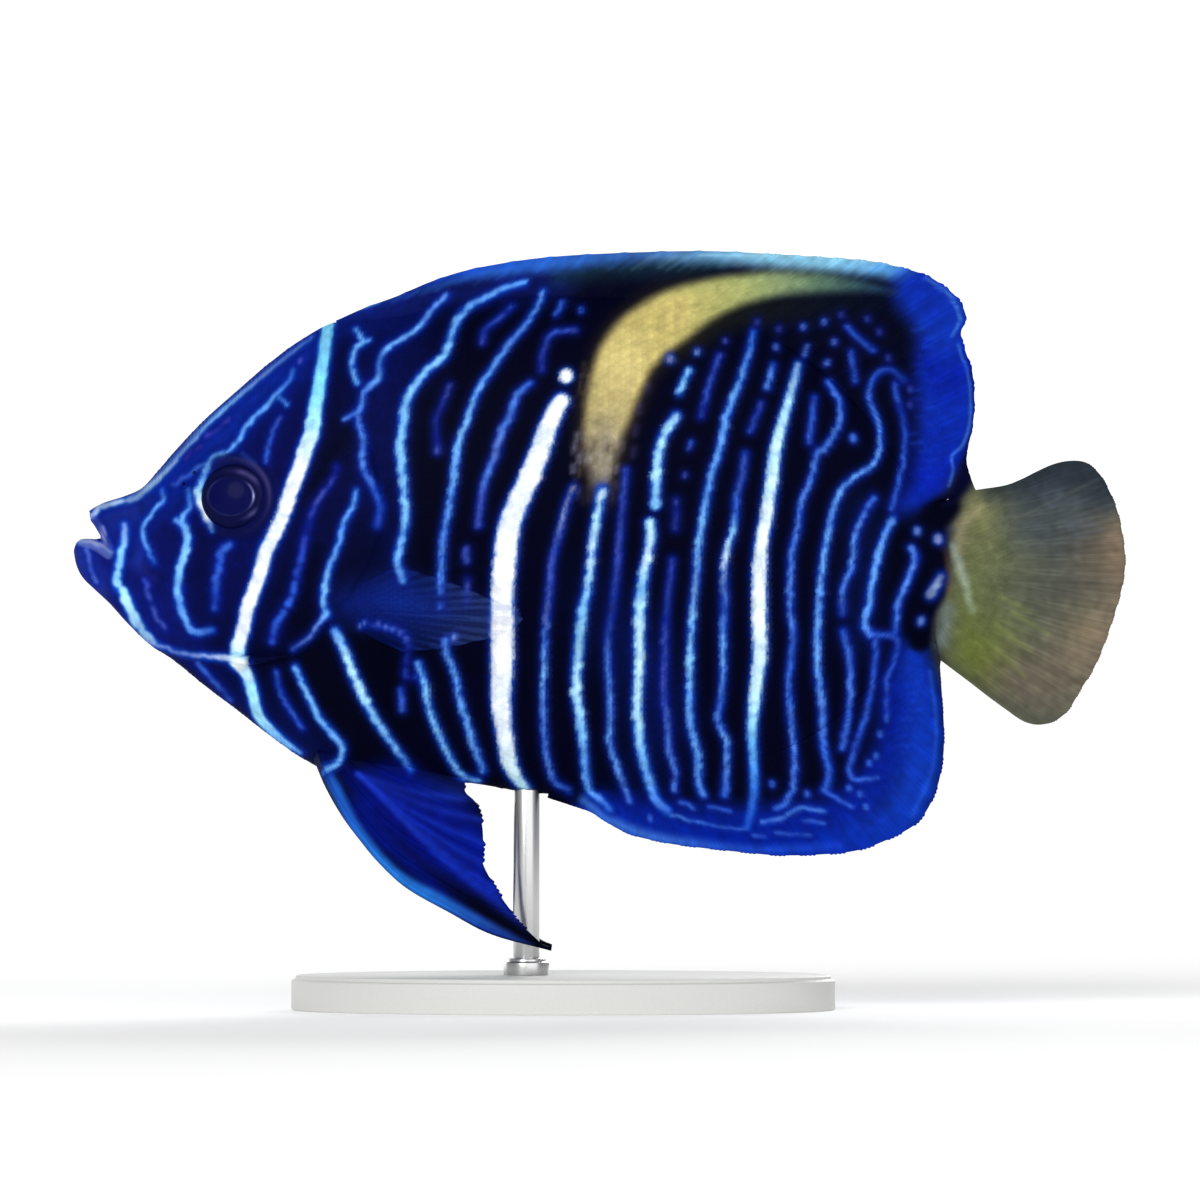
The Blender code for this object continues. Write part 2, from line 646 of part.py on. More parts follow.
def tapered(out, start, end, power):
    """A half thickness that falls from the root to the edge."""
    return start + (end - start) * out**power


def upright_fin(root_at, edge_at):
    """Middle surface of a fin that stands in the fish's middle plane."""
    def middle(share, out):
        root, edge = root_at(share), edge_at(share)
        back, up = root + (edge - root) * out
        return back, 0.0, up

    return middle


def window(read, start, end):
    """The same curve, read only between two shares of its length."""
    return lambda share: read(start + (end - start) * share)


def build_long_fins(body_room):
    """Dorsal fin in its spiny and its soft part, and anal fin, each rooted inside the body."""
    def root_chain(line, ends, sunk):
        backs = np.linspace(*ends, ROOT_SAMPLES)
        return np.array([(back, line(back) + sunk) for back in backs])

    dorsal_root = share_reader(root_chain(back_line, DORSAL_BASE, -FIN_ROOT_SUNK))
    dorsal_edge = share_reader(drawn_curve(DORSAL_EDGE))
    anal_root = share_reader(root_chain(belly_line, ANAL_BASE, FIN_ROOT_SUNK))
    anal_edge = share_reader(drawn_curve(ANAL_EDGE))
    seam = GAP / 2 / SEAM_LENGTH
    made = [
        fin("dorsal_fin_spiny", DORSAL_SPINES, SPINY_ROWS,
            upright_fin(window(dorsal_root, 0.0, SPINY_SHARE - seam),
                        window(dorsal_edge, 0.0, SPINY_SHARE - seam)),
            SPINY_WEB, SPINY_RAY, "skin", branched=False, notch=SPINY_NOTCH),
        fin("dorsal_fin_soft", DORSAL_SOFT_RAYS, SOFT_ROWS,
            upright_fin(window(dorsal_root, SPINY_SHARE + seam, 1.0),
                        window(dorsal_edge, SPINY_SHARE + seam, 1.0)),
            SOFT_WEB, SOFT_RAY, "skin"),
        fin("anal_fin", ANAL_RAYS, SOFT_ROWS, upright_fin(anal_root, anal_edge), ANAL_WEB, ANAL_RAY, "skin"),
    ]
    for obj in made:
        boolean(obj, "DIFFERENCE", body_room)
        keep_largest(obj)


def build_tail_fin(body_room):
    """Fan of the tail, its first and last rays along the upper and the lower edge."""
    outline = drawn_curve(TAIL_EDGE)
    read = share_reader(outline)
    root = share_reader(np.array(TAIL_ROOT))
    upper, lower = window(read, 0.0, TAIL_UPPER_SHARE), window(read, 1.0, TAIL_LOWER_SHARE)
    rear = window(read, TAIL_UPPER_SHARE, TAIL_LOWER_SHARE)

    def middle(share, out):
        start, end = root(share), rear(share)
        straight = start + (end - start) * out
        for edge, weight in ((upper, (1 - share) ** 5), (lower, share**5)):
            first = root(0.0) if edge is upper else root(1.0)
            shown = min(max((out - TAIL_HEEL) / (1 - TAIL_HEEL), 0.0), 1.0)
            along = first + (edge(0.0) - first) * out / TAIL_HEEL if out < TAIL_HEEL else edge(shown)
            line = first + (edge(1.0) - first) * out
            straight = straight + (along - line) * weight
        return straight[0], 0.0, straight[1]

    obj = fin("tail_fin", TAIL_RAYS, TAIL_ROWS, middle, TAIL_WEB, TAIL_RAY, "tail", notch=TAIL_NOTCH)
    boolean(obj, "DIFFERENCE", body_room)
    keep_largest(obj)


def build_pectoral_fins(body_room):
    """Clear fans behind the gill covers, flared away from the flanks."""
    root, edge = share_reader(np.array(PECTORAL_ROOT)), share_reader(drawn_curve(PECTORAL_EDGE))
    for name, side in (("pectoral_fin_left", -1), ("pectoral_fin_right", 1)):
        def middle(share, out, side=side):
            start, end = root(share), edge(share)
            back, up = start + (end - start) * out
            depth = flank(*start) - PECTORAL_SUNK + PECTORAL_FLARE * math.sin(out * math.pi / 2) ** 0.9
            return back, side * depth, up

        obj = fin(name, PECTORAL_RAYS, PECTORAL_ROWS, middle, PECTORAL_WEB, PECTORAL_RAY, "pectoral",
                  branched=False)
        boolean(obj, "DIFFERENCE", body_room)
        keep_largest(obj)


def build_pelvic_fins(body_room):
    """Long pointed fins under the breast, with a bowed leading spine."""
    lead, edge = share_reader(drawn_curve(PELVIC_LEAD)), share_reader(drawn_curve(PELVIC_EDGE))
    for name, side in (("pelvic_fin_left", -1), ("pelvic_fin_right", 1)):
        def middle(share, out, side=side):
            start = lead(0.0) + np.array([PELVIC_ROOT_LENGTH * share, 0.0])
            end = edge(share)
            bow = lead(out) - (lead(0.0) + (lead(1.0) - lead(0.0)) * out)
            back, up = start + (end - start) * out + bow * (1 - share) ** 1.5
            outer = PELVIC_LEAD_OUT[0] + (PELVIC_LEAD_OUT[1] - PELVIC_LEAD_OUT[0]) * out
            inner = PELVIC_INNER_OUT[0] + (PELVIC_INNER_OUT[1] - PELVIC_INNER_OUT[0]) * out
            return back, side * (outer + (inner - outer) * share**0.8), up

        obj = fin(name, PELVIC_RAYS, PELVIC_ROWS, middle, PELVIC_WEB, PELVIC_RAY, "skin")
        boolean(obj, "DIFFERENCE", body_room)
        keep_largest(obj)


# The stand

def build_stand(body_room):
    """An oval foot and one rod that ends against the belly in front of the anal fin."""
    bpy.ops.mesh.primitive_cylinder_add(
        vertices=BASE_SEGMENTS, radius=0.5, depth=BASE_THICKNESS * MM,
        location=(STAND_AT * MM, 0.0, BASE_THICKNESS * MM / 2),
    )
    foot = bpy.context.active_object
    foot.scale = (BASE_SIZE[0] * MM, BASE_SIZE[1] * MM, 1.0)
    foot = adopt("stand_base", PARTS)
    foot.data.materials.append(bpy.data.materials["stand_paint"])
    edge = foot.modifiers.new("edge", "BEVEL")
    edge.width = BASE_EDGE * MM
    edge.segments = EDGE_SEGMENTS
    edge.limit_method = "ANGLE"

    bottom = BASE_THICKNESS + GAP
    top = AXIS_HEIGHT + belly_line(ROD_BACK) + ROD_INTO_BELLY
    bpy.ops.mesh.primitive_cylinder_add(
        vertices=ROD_SEGMENTS, radius=ROD_RADIUS * MM, depth=(top - bottom) * MM,
        location=place(ROD_BACK, 0.0, (top + bottom) / 2 - AXIS_HEIGHT),
    )
    rod = adopt("stand_rod", PARTS)
    rod.data.materials.append(bpy.data.materials["stand_steel"])
    boolean(rod, "DIFFERENCE", body_room)
    keep_largest(rod)


def main():
    for obj in list(bpy.data.objects):
        bpy.data.objects.remove(obj)
    collection(PARTS)
    collection(CUTTERS).hide_render = True
    for name, (colour, roughness, metallic) in COLOURS.items():
        material(name, colour, roughness, metallic)

    build_body()
    for name, side in (("eye_left", -1), ("eye_right", 1)):
        eye(name, side).data.materials.append(bpy.data.materials["eye"])
    body_room = body_shape("body_room", GAP)
    build_long_fins(body_room)
    build_tail_fin(body_room)
    build_pectoral_fins(body_room)
    build_pelvic_fins(body_room)
    build_stand(body_room)
    for obj in bpy.data.collections[CUTTERS].objects:
        obj.hide_render = True
        obj.display_type = "WIRE"
    for obj in bpy.data.collections[PARTS].objects:
        obj.data.shade_smooth()
        obj.data.set_sharp_from_angle(angle=math.radians(SMOOTH_ANGLE))


main()
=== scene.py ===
"""Looks of the arabian angelfish model: its skin, scales, fins, eyes and plain display stand.

Lengths are in millimetres in the fish's own measures, as (back, side, up): back from the tip of
the lower jaw, side from the middle plane with the left flank negative, up over the long axis.
"""

import math

import bmesh
import bpy
import numpy as np
from mathutils import Matrix, Vector

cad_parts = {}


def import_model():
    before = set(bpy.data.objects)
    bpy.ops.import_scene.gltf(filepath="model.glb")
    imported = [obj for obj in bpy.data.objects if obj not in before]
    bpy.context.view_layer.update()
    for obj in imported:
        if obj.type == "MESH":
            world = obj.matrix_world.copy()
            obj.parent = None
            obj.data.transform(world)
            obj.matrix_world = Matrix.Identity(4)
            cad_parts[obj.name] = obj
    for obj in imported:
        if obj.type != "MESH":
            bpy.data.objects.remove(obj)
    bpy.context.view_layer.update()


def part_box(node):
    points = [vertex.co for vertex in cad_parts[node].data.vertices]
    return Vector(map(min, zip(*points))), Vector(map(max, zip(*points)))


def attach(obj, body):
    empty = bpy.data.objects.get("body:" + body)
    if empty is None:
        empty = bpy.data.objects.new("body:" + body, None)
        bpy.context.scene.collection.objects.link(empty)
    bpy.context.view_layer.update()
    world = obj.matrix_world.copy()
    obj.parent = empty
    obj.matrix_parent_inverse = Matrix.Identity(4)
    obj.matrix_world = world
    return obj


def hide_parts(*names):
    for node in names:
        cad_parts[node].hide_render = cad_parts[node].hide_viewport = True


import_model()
chance = np.random.default_rng(1207)

MM = 0.001
TOTAL_LENGTH = 120.0
AXIS_HEIGHT = 51.3
BODY_END = 102.6

# The view of the photograph: its middle pixel, the size of one pixel on the fish and the camera.
PHOTO_SIZE = 1200
PHOTO_MIDDLE = 600.0
PIXEL = 0.114
CAMERA_AWAY = 1500.0
CAMERA_HEIGHT = 46.74
SENSOR = 36.0
CLIP_NEAR, CLIP_FAR = 0.1, 100.0

BACK_LINE = [
    (0.0, 1.0), (0.3, 2.9), (0.8, 4.3), (1.7, 5.6), (3.1, 6.5), (5.8, 7.4), (7.6, 8.2), (9.5, 10.2),
    (11.3, 12.3), (14.9, 16.1), (18.6, 19.4), (22.2, 22.5), (25.9, 25.2), (29.5, 27.1), (37.3, 28.5),
    (44.1, 30.2), (53.2, 31.1), (62.4, 31.1), (71.5, 30.0), (80.6, 26.8), (86.3, 22.6), (90.9, 17.7),
    (94.8, 12.0), (97.7, 8.4), (100.0, 6.9), (102.6, 6.9),
]
BELLY_LINE = [
    (0.0, 1.0), (0.2, -0.2), (0.8, -1.7), (2.2, -3.3), (4.0, -5.0), (5.8, -7.0), (7.6, -8.8),
    (9.5, -10.3), (11.3, -11.5), (14.9, -14.4), (18.6, -17.2), (22.2, -20.0), (25.9, -22.6),
    (29.3, -24.2), (37.3, -24.8), (45.0, -25.5), (53.2, -26.7), (62.4, -27.0), (71.5, -26.4),
    (80.6, -23.9), (86.3, -20.7), (90.9, -16.5), (94.8, -12.5), (97.7, -9.9), (100.0, -9.0), (102.6, -9.2),
]
WIDEST_LINE = [
    (0.0, 1.0), (6.0, 0.0), (18.0, 2.0), (35.0, 2.5), (60.0, 3.0), (80.0, 1.5), (100.0, -0.9), (102.6, -1.0),
]
HALF_WIDTH = [
    (0.0, 0.0), (0.3, 0.9), (1.0, 1.6), (2.0, 2.2), (3.1, 2.65), (5.8, 3.5), (9.5, 4.6), (14.9, 6.0),
    (18.6, 6.9), (25.9, 8.4), (33.0, 9.3), (42.0, 9.7), (52.0, 9.4), (62.0, 8.6), (72.0, 7.3),
    (80.6, 5.9), (86.3, 4.7), (90.9, 3.7), (94.8, 3.0), (97.7, 2.5), (100.0, 1.9),
    (101.5, 1.2), (102.6, 0.5),
]
BACK_KEEL = [(0.0, 0.5), (8.0, 0.55), (20.0, 0.62), (40.0, 0.75), (80.0, 0.75), (100.0, 0.5)]
BELLY_KEEL = [(0.0, 0.5), (10.0, 0.55), (30.0, 0.55), (50.0, 0.62), (80.0, 0.75), (100.0, 0.5)]

# Distance between the rings of the skin, by their place along the fish.
RING_SPACING = [
    (0.0, 0.05), (1.0, 0.11), (4.0, 0.18), (12.0, 0.25), (37.0, 0.28), (42.0, 0.46), (97.0, 0.5),
    (102.0, 0.35),
]
FIRST_RING = 0.1
RING_POINTS = 276
COAT_DEPTH, SNOUT_BARE = 0.1, 3.0
SKIN_SHARP = 50

GILL_LINE = [
    (28.6, 31.5), (30.8, 22.0), (32.4, 16.0), (34.2, 11.6), (35.4, 6.6), (35.2, 3.0), (33.6, -0.8),
    (31.5, -4.0), (29.2, -7.2), (26.8, -10.2), (24.4, -11.8), (21.6, -12.4), (19.0, -12.3),
    (14.5, -11.8), (10.6, -10.6), (7.0, -9.6),
]
GILL_WEIGHT = [0.0, 0.1, 0.5, 1.0, 1.0, 1.0, 1.0, 1.0, 1.0, 1.0, 0.9, 0.8, 0.6, 0.5, 0.3, 0.0]
GILL_STEP, GILL_SLOPE, GILL_LIP = 0.42, 7.0, 0.16
GILL_GROOVE, GILL_GROOVE_REACH = 0.12, 0.7
CHEEK_EDGE = [(30.2, 14.6), (27.2, 11.6), (25.3, 8.0), (23.2, 2.8), (21.8, -1.1), (20.4, -5.7), (19.6, -9.1)]
CHEEK_WEIGHT = [0.0, 0.6, 1.0, 1.0, 1.0, 1.0, 0.3]
CHEEK_STEP, CHEEK_SLOPE, CHEEK_LIP = 0.2, 4.0, 0.15
CHEEK_GROOVE, CHEEK_GROOVE_AT, CHEEK_GROOVE_REACH = 0.05, 0.25, 0.3

MOUTH_CORNER = (4.2, 0.9)
UPPER_EDGE = [
    (3.0, 2.44), (2.96, 2.9), (2.72, 3.6), (2.2, 4.15), (1.88, 4.6), (1.74, 5.1), (1.8, 5.45), (1.55, 6.2),
]
LOWER_EDGE = [(-0.02, 1.2), (0.08, 1.5), (0.3, 1.94), (0.85, 2.38), (1.6, 2.52), (2.6, 2.44)]
MOUTH_AHEAD = [(0.2, 7.4), (-2.5, 7.4), (-2.5, 1.1)]
JAW_LINE = [(2.95, 2.4), MOUTH_CORNER, (5.6, -1.6), (6.5, -4.6), (6.9, -9.0)]
JAW_WEIGHT = [1.0, 1.0, 0.8, 0.4, 0.0]
JAW_DEPTH, JAW_WIDTH = 0.22, 0.3
UPPER_LIP = [(4.1, 3.05, 1.45), (3.2, 2.7, 3.1), (2.55, 1.7, 4.3), (2.3, 0.0, 4.75)]
LOWER_LIP = [(4.0, 3.0, 0.6), (2.5, 2.35, 1.6), (1.2, 1.45, 1.98), (0.74, 0.0, 1.92)]
UPPER_LIP_RADII = (0.3, 0.4, 0.46, 0.48)
LOWER_LIP_RADII = (0.3, 0.4, 0.44, 0.46)
LIP_BLEND_END, LIP_BLEND_REACH, LIP_BLEND_TURNS = 5.2, 0.85, 16

EYE_PLACE = (18.25, 7.2)
EYE_RADIUS, EYE_DEPTH, EYE_SUNK = 3.8, 1.9, 0.7
EYE_RIM_AT, EYE_RIM_WIDTH, EYE_RIM_HEIGHT = 4.45, 0.42, 0.42
SOCKET_GAP = 0.04
NOSTRILS = [(12.7, 8.6), (13.9, 9.9)]
NOSTRIL_RADIUS, NOSTRIL_RIM, NOSTRIL_SUNK = 0.36, 0.14, 0.05
NOSTRIL_PIT, NOSTRIL_PIT_SHARE = 0.35, 0.8
CHEEK_SPINE = [(17.0, -10.8, -0.7), (20.4, -11.4, 1.3), (24.6, -10.9, 1.05)]
CHEEK_SPINE_RADII = (0.62, 0.5, 0.1)

DORSAL_EDGE = [
    (29.9, 27.3), (33.2, 28.8), (36.8, 30.1), (40.5, 31.7), (44.1, 32.9), (47.8, 33.7), (53.2, 34.5),
    (60.5, 35.0), (71.5, 35.3), (80.6, 34.9), (89.7, 34.3), (93.4, 33.7), (97.0, 32.7), (99.0, 31.6),
    (100.9, 30.0), (101.8, 28.3), (101.8, 27.3), (101.3, 25.9), (101.8, 23.9), (102.6, 21.4),
    (102.8, 17.7), (102.5, 14.8), (101.9, 12.3), (102.0, 10.4), (102.6, 8.7), (103.0, 7.6),
]
DORSAL_BASE = (30.4, 97.4)
SPINY_SHARE = 0.53
DORSAL_SPINES, DORSAL_SOFT_RAYS = 12, 19
ANAL_EDGE = [
    (54.0, -27.1), (55.1, -27.5), (58.7, -28.7), (60.5, -29.8), (62.4, -30.9), (64.2, -31.6),
    (67.8, -32.4), (71.5, -32.9), (77.0, -33.5), (80.6, -33.8), (85.2, -33.7), (88.6, -33.4),
    (91.5, -32.6), (95.3, -30.8), (97.1, -29.1), (98.5, -26.2), (99.2, -22.8), (99.3, -19.4),
    (99.0, -14.8), (98.8, -12.4), (98.9, -11.3), (98.7, -9.8),
]
ANAL_BASE = (54.6, 97.0)
ANAL_RAYS = 20
FIN_ROOT_SUNK = 2.2
TAIL_EDGE = [
    (102.9, 8.0), (106.1, 8.5), (108.0, 9.2), (109.8, 10.1), (111.6, 10.9), (113.4, 11.3),
    (115.3, 11.2), (116.6, 10.3), (117.6, 9.0), (118.9, 6.2), (119.6, 3.4), (120.0, 0.2),
    (119.8, -2.2), (119.2, -4.8), (117.8, -9.1), (116.4, -12.4), (114.9, -14.8), (113.6, -17.0),
    (112.1, -18.3), (110.2, -18.8), (108.3, -18.4), (106.5, -17.2), (104.3, -15.6), (102.5, -14.2),
    (98.8, -11.4),
]
TAIL_ROOT = [(98.2, 6.4), (98.2, -8.5)]
TAIL_RAYS = 17
TAIL_UPPER_SHARE, TAIL_LOWER_SHARE = 0.19, 0.79
TAIL_HEEL = 0.22
PECTORAL_ROOT = [(31.9, -3.6), (32.5, -7.7)]
PECTORAL_EDGE = [
    (37.1, -0.7), (41.8, -2.1), (47.5, -4.3), (51.4, -6.0), (50.0, -8.0), (46.4, -9.2), (41.8, -10.1),
    (37.6, -10.4),
]
PECTORAL_RAYS = 14
PECTORAL_SUNK, PECTORAL_FLARE = 0.9, 5.4
PECTORAL_FILM_ALPHA, PECTORAL_RAY_ALPHA = 0.06, 0.13
PELVIC_LEAD = [
    (27.5, -22.0), (29.0, -25.6), (31.0, -29.1), (33.1, -31.9), (35.2, -34.4), (38.3, -37.2), (43.1, -39.9),
    (47.9, -42.4), (54.5, -44.2),
]
PELVIC_EDGE = [
    (54.5, -44.2), (52.7, -42.6), (51.1, -41.2), (49.0, -38.5), (47.8, -36.5), (46.9, -34.4),
    (47.0, -31.7), (46.7, -29.5), (46.1, -27.8), (44.9, -26.6), (44.7, -25.0),
]
PELVIC_ROOT_LENGTH = 4.6
PELVIC_RAYS = 6
PELVIC_LEAD_OUT, PELVIC_INNER_OUT = (2.6, 7.2), (2.0, 1.7)

FLESH = ("head", "lower_jaw", "gill_cover_left", "gill_cover_right", "trunk", "tail_stalk")


# Measures and curves

def world(points):
    """Points of the fish as world places, in millimetres."""
    points = np.asarray(points, float)
    return points + (-TOTAL_LENGTH / 2, 0.0, AXIS_HEIGHT)


def steady_curve(table):
    """A smooth function through the table's points that never swings past them."""
    xs, ys = np.array(table, float).T
    steps = np.diff(xs)
    rises = np.diff(ys) / steps
    slopes = np.concatenate([[rises[0]], np.zeros(len(rises) - 1), [rises[-1]]])
    for i in range(1, len(rises)):
        if rises[i - 1] * rises[i] > 0:
            before, after = 2 * steps[i] + steps[i - 1], steps[i] + 2 * steps[i - 1]
            slopes[i] = (before + after) / (before / rises[i - 1] + after / rises[i])

    def value(x):
        x = np.asarray(x, float)
        i = np.clip(np.searchsorted(xs, x) - 1, 0, len(steps) - 1)
        t = np.clip((x - xs[i]) / steps[i], 0.0, 1.0)
        start = (1 + 2 * t) * (1 - t) ** 2 * ys[i] + t * (1 - t) ** 2 * steps[i] * slopes[i]
        end = t * t * (3 - 2 * t) * ys[i + 1] + t * t * (t - 1) * steps[i] * slopes[i + 1]
        return start + end

    return value


def drawn_curve(points, per_span=6):
    """A Catmull-Rom curve through the points, as a fine chain."""
    points = [np.array(p, float) for p in points]
    ends = [2 * points[0] - points[1], *points, 2 * points[-1] - points[-2]]
    chain = []
    for a, b, c, d in zip(ends, ends[1:], ends[2:], ends[3:]):
        for step in range(per_span):
            t = step / per_span
            chain.append(
                0.5 * (2 * b + (c - a) * t + (2 * a - 5 * b + 4 * c - d) * t**2
                       + (3 * b - a - 3 * c + d) * t**3)
            )
    chain.append(points[-1])
    return np.array(chain)


def lengths_along(chain):
    return np.concatenate([[0.0], np.cumsum(np.linalg.norm(np.diff(chain, axis=0), axis=1))])


def share_reader(chain):
    """A function that gives the points at shares of the chain's length."""
    lengths = lengths_along(chain)

    def at(share):
        wanted = np.clip(share, 0.0, 1.0) * lengths[-1]
        return np.stack([np.interp(wanted, lengths, chain[:, k]) for k in range(chain.shape[1])], axis=-1)

    return at


def ramp(value, start, end):
    """0 before start, 1 after end, and a smooth rise between them."""
    t = np.clip((np.asarray(value, float) - start) / (end - start), 0.0, 1.0)
    return t * t * (3 - 2 * t)


def from_line(places, line, weights):
    """Signed distance of side view places from a line, ahead of it positive, and the line's weight there."""
    line = np.array(line, float)
    best = np.full(places.shape[:-1], 1e9)
    signed, weight = np.zeros_like(best), np.zeros_like(best)
    for n, (start, end) in enumerate(zip(line, line[1:])):
        along = end - start
        offset = places - start
        t = np.clip(offset @ along / (along @ along), 0.0, 1.0)
        apart = offset - t[..., None] * along
        distance = np.linalg.norm(apart, axis=-1)
        nearer = distance < best
        side = np.sign(along[0] * offset[..., 1] - along[1] * offset[..., 0])
        best = np.where(nearer, distance, best)
        signed = np.where(nearer, -side * distance, signed)
        weight = np.where(nearer, weights[n] + (weights[n + 1] - weights[n]) * t, weight)
    return signed, weight


back_line, belly_line = steady_curve(BACK_LINE), steady_curve(BELLY_LINE)
widest_line, half_width = steady_curve(WIDEST_LINE), steady_curve(HALF_WIDTH)
back_keel, belly_keel = steady_curve(BACK_KEEL), steady_curve(BELLY_KEEL)


def section_half(back, share):
    """Half width of a cross-section, share being -1 at the belly, 0 at the widest and 1 at the back."""
    keel = np.where(share > 0, back_keel(back), belly_keel(back))
    return half_width(back) * np.maximum(1 - np.abs(share) ** 2, 0.0) ** keel


def section_up(back, share):
    middle = widest_line(back)
    return middle + np.where(share > 0, back_line(back) - middle, middle - belly_line(back)) * share


def flank(back, up):
    """Half width of the body at a place of its side view."""
    middle = widest_line(back)
    reach = np.where(up > middle, back_line(back) - middle, middle - belly_line(back))
    return section_half(back, np.clip((up - middle) / reach, -1.0, 1.0))


def flank_normal(back, up, side):
    """Outward direction there, as (back, side, up)."""
    reach = 0.5
    along = (flank(back + reach, up) - flank(back - reach, up)) / (2 * reach)
    over = (flank(back, up + reach) - flank(back, up - reach)) / (2 * reach)
    return Vector((-along, side, -over)).normalized()


# Meshes and objects

def clear_selection():
    if bpy.context.mode != "OBJECT":
        bpy.ops.object.mode_set(mode="OBJECT")
    bpy.ops.object.select_all(action="DESELECT")


def mesh_of(name, points, *faces):
    """A mesh of points in world millimetres and arrays of faces, each array with one number of corners."""
    mesh = bpy.data.meshes.new(name)
    mesh.vertices.add(len(points))
    mesh.vertices.foreach_set("co", (np.asarray(points) * MM).astype(np.float32).ravel())
    corners = np.concatenate([f.ravel() for f in faces]).astype(np.int32)
    sizes = np.concatenate([np.full(len(f), f.shape[1]) for f in faces])
    mesh.loops.add(len(corners))
    mesh.loops.foreach_set("vertex_index", corners)
    mesh.polygons.add(len(sizes))
    starts = np.concatenate([[0], np.cumsum(sizes)[:-1]]).astype(np.int32)
    mesh.polygons.foreach_set("loop_start", starts)
    mesh.update(calc_edges=True)
    mesh.validate()
    return mesh


def new_piece(name, mesh, material=None):
    made = bpy.data.objects.new(name, mesh)
    bpy.context.scene.collection.objects.link(made)
    if material:
        mesh.materials.clear()
        mesh.materials.append(material)
    mesh.shade_smooth()
    return made


def quads(rows, columns, first=0):
    """Faces of a grid of points that is stored row by row."""
    index = first + np.arange(rows * columns).reshape(rows, columns)
    return np.stack([index[:-1, :-1], index[1:, :-1], index[1:, 1:], index[:-1, 1:]], axis=-1).reshape(-1, 4)


def places_of(mesh):
    """The mesh's points in world millimetres."""
    points = np.empty(len(mesh.vertices) * 3, np.float32)
    mesh.vertices.foreach_get("co", points)
    return points.reshape(-1, 3).astype(float) / MM


def apply_boolean(target, operation, other):
    """One Boolean on the target, whose other object is then removed."""
    clear_selection()
    cut = target.modifiers.new("cut", "BOOLEAN")
    cut.operation = operation
    cut.solver = "MANIFOLD"
    cut.object = other
    bpy.context.view_layer.objects.active = target
    target.select_set(True)
    bpy.ops.object.modifier_apply(modifier="cut")
    if target.modifiers:
        raise RuntimeError(f"{operation} of {other.name} failed")
    bpy.data.objects.remove(other)


def settle(name, material=None):
    """Names the active object and puts its place, turn and size into its mesh."""
    made = bpy.context.active_object
    made.name = made.data.name = name
    bpy.ops.object.transform_apply(location=True, rotation=True, scale=True)
    if material:
        made.data.materials.clear()
        made.data.materials.append(material)
    clear_selection()
    return made


PRISM_HALF_DEPTH = 30.0
TUBE_STEPS, TUBE_SIDES, TUBE_JOINED = 6, 4, 0.002


def prism(name, outline):
    """A flat outline of the side view as a closed block through the whole fish."""
    outline = np.array(outline, float)
    count = len(outline)
    near = world(np.column_stack([outline[:, 0], np.full(count, -PRISM_HALF_DEPTH), outline[:, 1]]))
    far = near + (0.0, 2 * PRISM_HALF_DEPTH, 0.0)
    ring = np.arange(count)
    after = np.roll(ring, -1)
    walls = np.column_stack([ring, ring + count, after + count, after])
    ends = (ring[None], ring[None, ::-1] + count)
    made = new_piece(name, mesh_of(name, np.concatenate([near, far]), walls, *ends))
    turn_outwards(made)
    return made


def turn_outwards(obj, joined=0.0):
    """Turns the faces outwards, once points nearer than the joined distance are one."""
    shape = bmesh.new()
    shape.from_mesh(obj.data)
    if joined:
        bmesh.ops.remove_doubles(shape, verts=shape.verts, dist=joined * MM)
    bmesh.ops.recalc_face_normals(shape, faces=shape.faces)
    if shape.calc_volume(signed=True) < 0:
        bmesh.ops.reverse_faces(shape, faces=shape.faces)
    shape.to_mesh(obj.data)
    shape.free()


def tube(name, points, radii):
    """A round tube through (back, side, up) points with its own radius at each."""
    curve = bpy.data.curves.new(name, "CURVE")
    curve.dimensions = "3D"
    curve.bevel_depth = MM
    curve.bevel_resolution = TUBE_SIDES
    curve.use_fill_caps = True
    spline = curve.splines.new("POLY")
    chain = drawn_curve(np.column_stack([points, radii]), TUBE_STEPS)
    spline.points.add(len(chain) - 1)
    for point, (back, side, up, radius) in zip(spline.points, chain):
        point.co = (*(world((back, side, up)) * MM), 1.0)
        point.radius = radius
    holder = bpy.data.objects.new(name, curve)
    bpy.context.scene.collection.objects.link(holder)
    clear_selection()
    holder.select_set(True)
    bpy.context.view_layer.objects.active = holder
    bpy.ops.object.convert(target="MESH")
    shape = bpy.context.active_object.data
    bpy.data.objects.remove(holder)
    made = new_piece(name, shape)
    turn_outwards(made, TUBE_JOINED)
    return made


def mirrored(points):
    """A path on the left side, carried on over the middle plane to the right side."""
    left = [(back, -side, up) for back, side, up in points]
    return left + [(back, side, up) for back, side, up in points[-2::-1]]


# The painted markings: one sheet for the side view, in pixels of the photograph

WHITE = (252, 255, 255)
PALE = (186, 238, 255)
AQUA = (136, 226, 255)
CYAN = (136, 204, 255)
SKY = (106, 170, 246)
AZURE = (84, 134, 226)
BLUE = (54, 100, 206)
VIOLET = (64, 80, 172)
LAVENDER = (134, 152, 216)
GLOW = (4, 20, 122)
DULL_RIM = (8, 20, 118)
BRIGHT_RIM = (14, 84, 196)

sheet = np.zeros((PHOTO_SIZE, PHOTO_SIZE, 3))

BRUSH_STEP = 1.5
CURVE_STEPS, LINE_STEPS = 8, 12
WIDE_STROKE = 10
FINE_STRAY, WIDE_STRAY = 0.7, 0.3
FEWEST_STEPS = 6
FAINTEST_DASH = 0.15


def smooth_noise(count, period):
    """Values round 0, about one swing each period."""
    knots = chance.normal(0.0, 1.0, count // period + 3)
    at = np.arange(count) / period
    i = at.astype(int)
    t = at - i
    t = t * t * (3 - 2 * t)
    return knots[i] * (1 - t) + knots[i + 1] * t


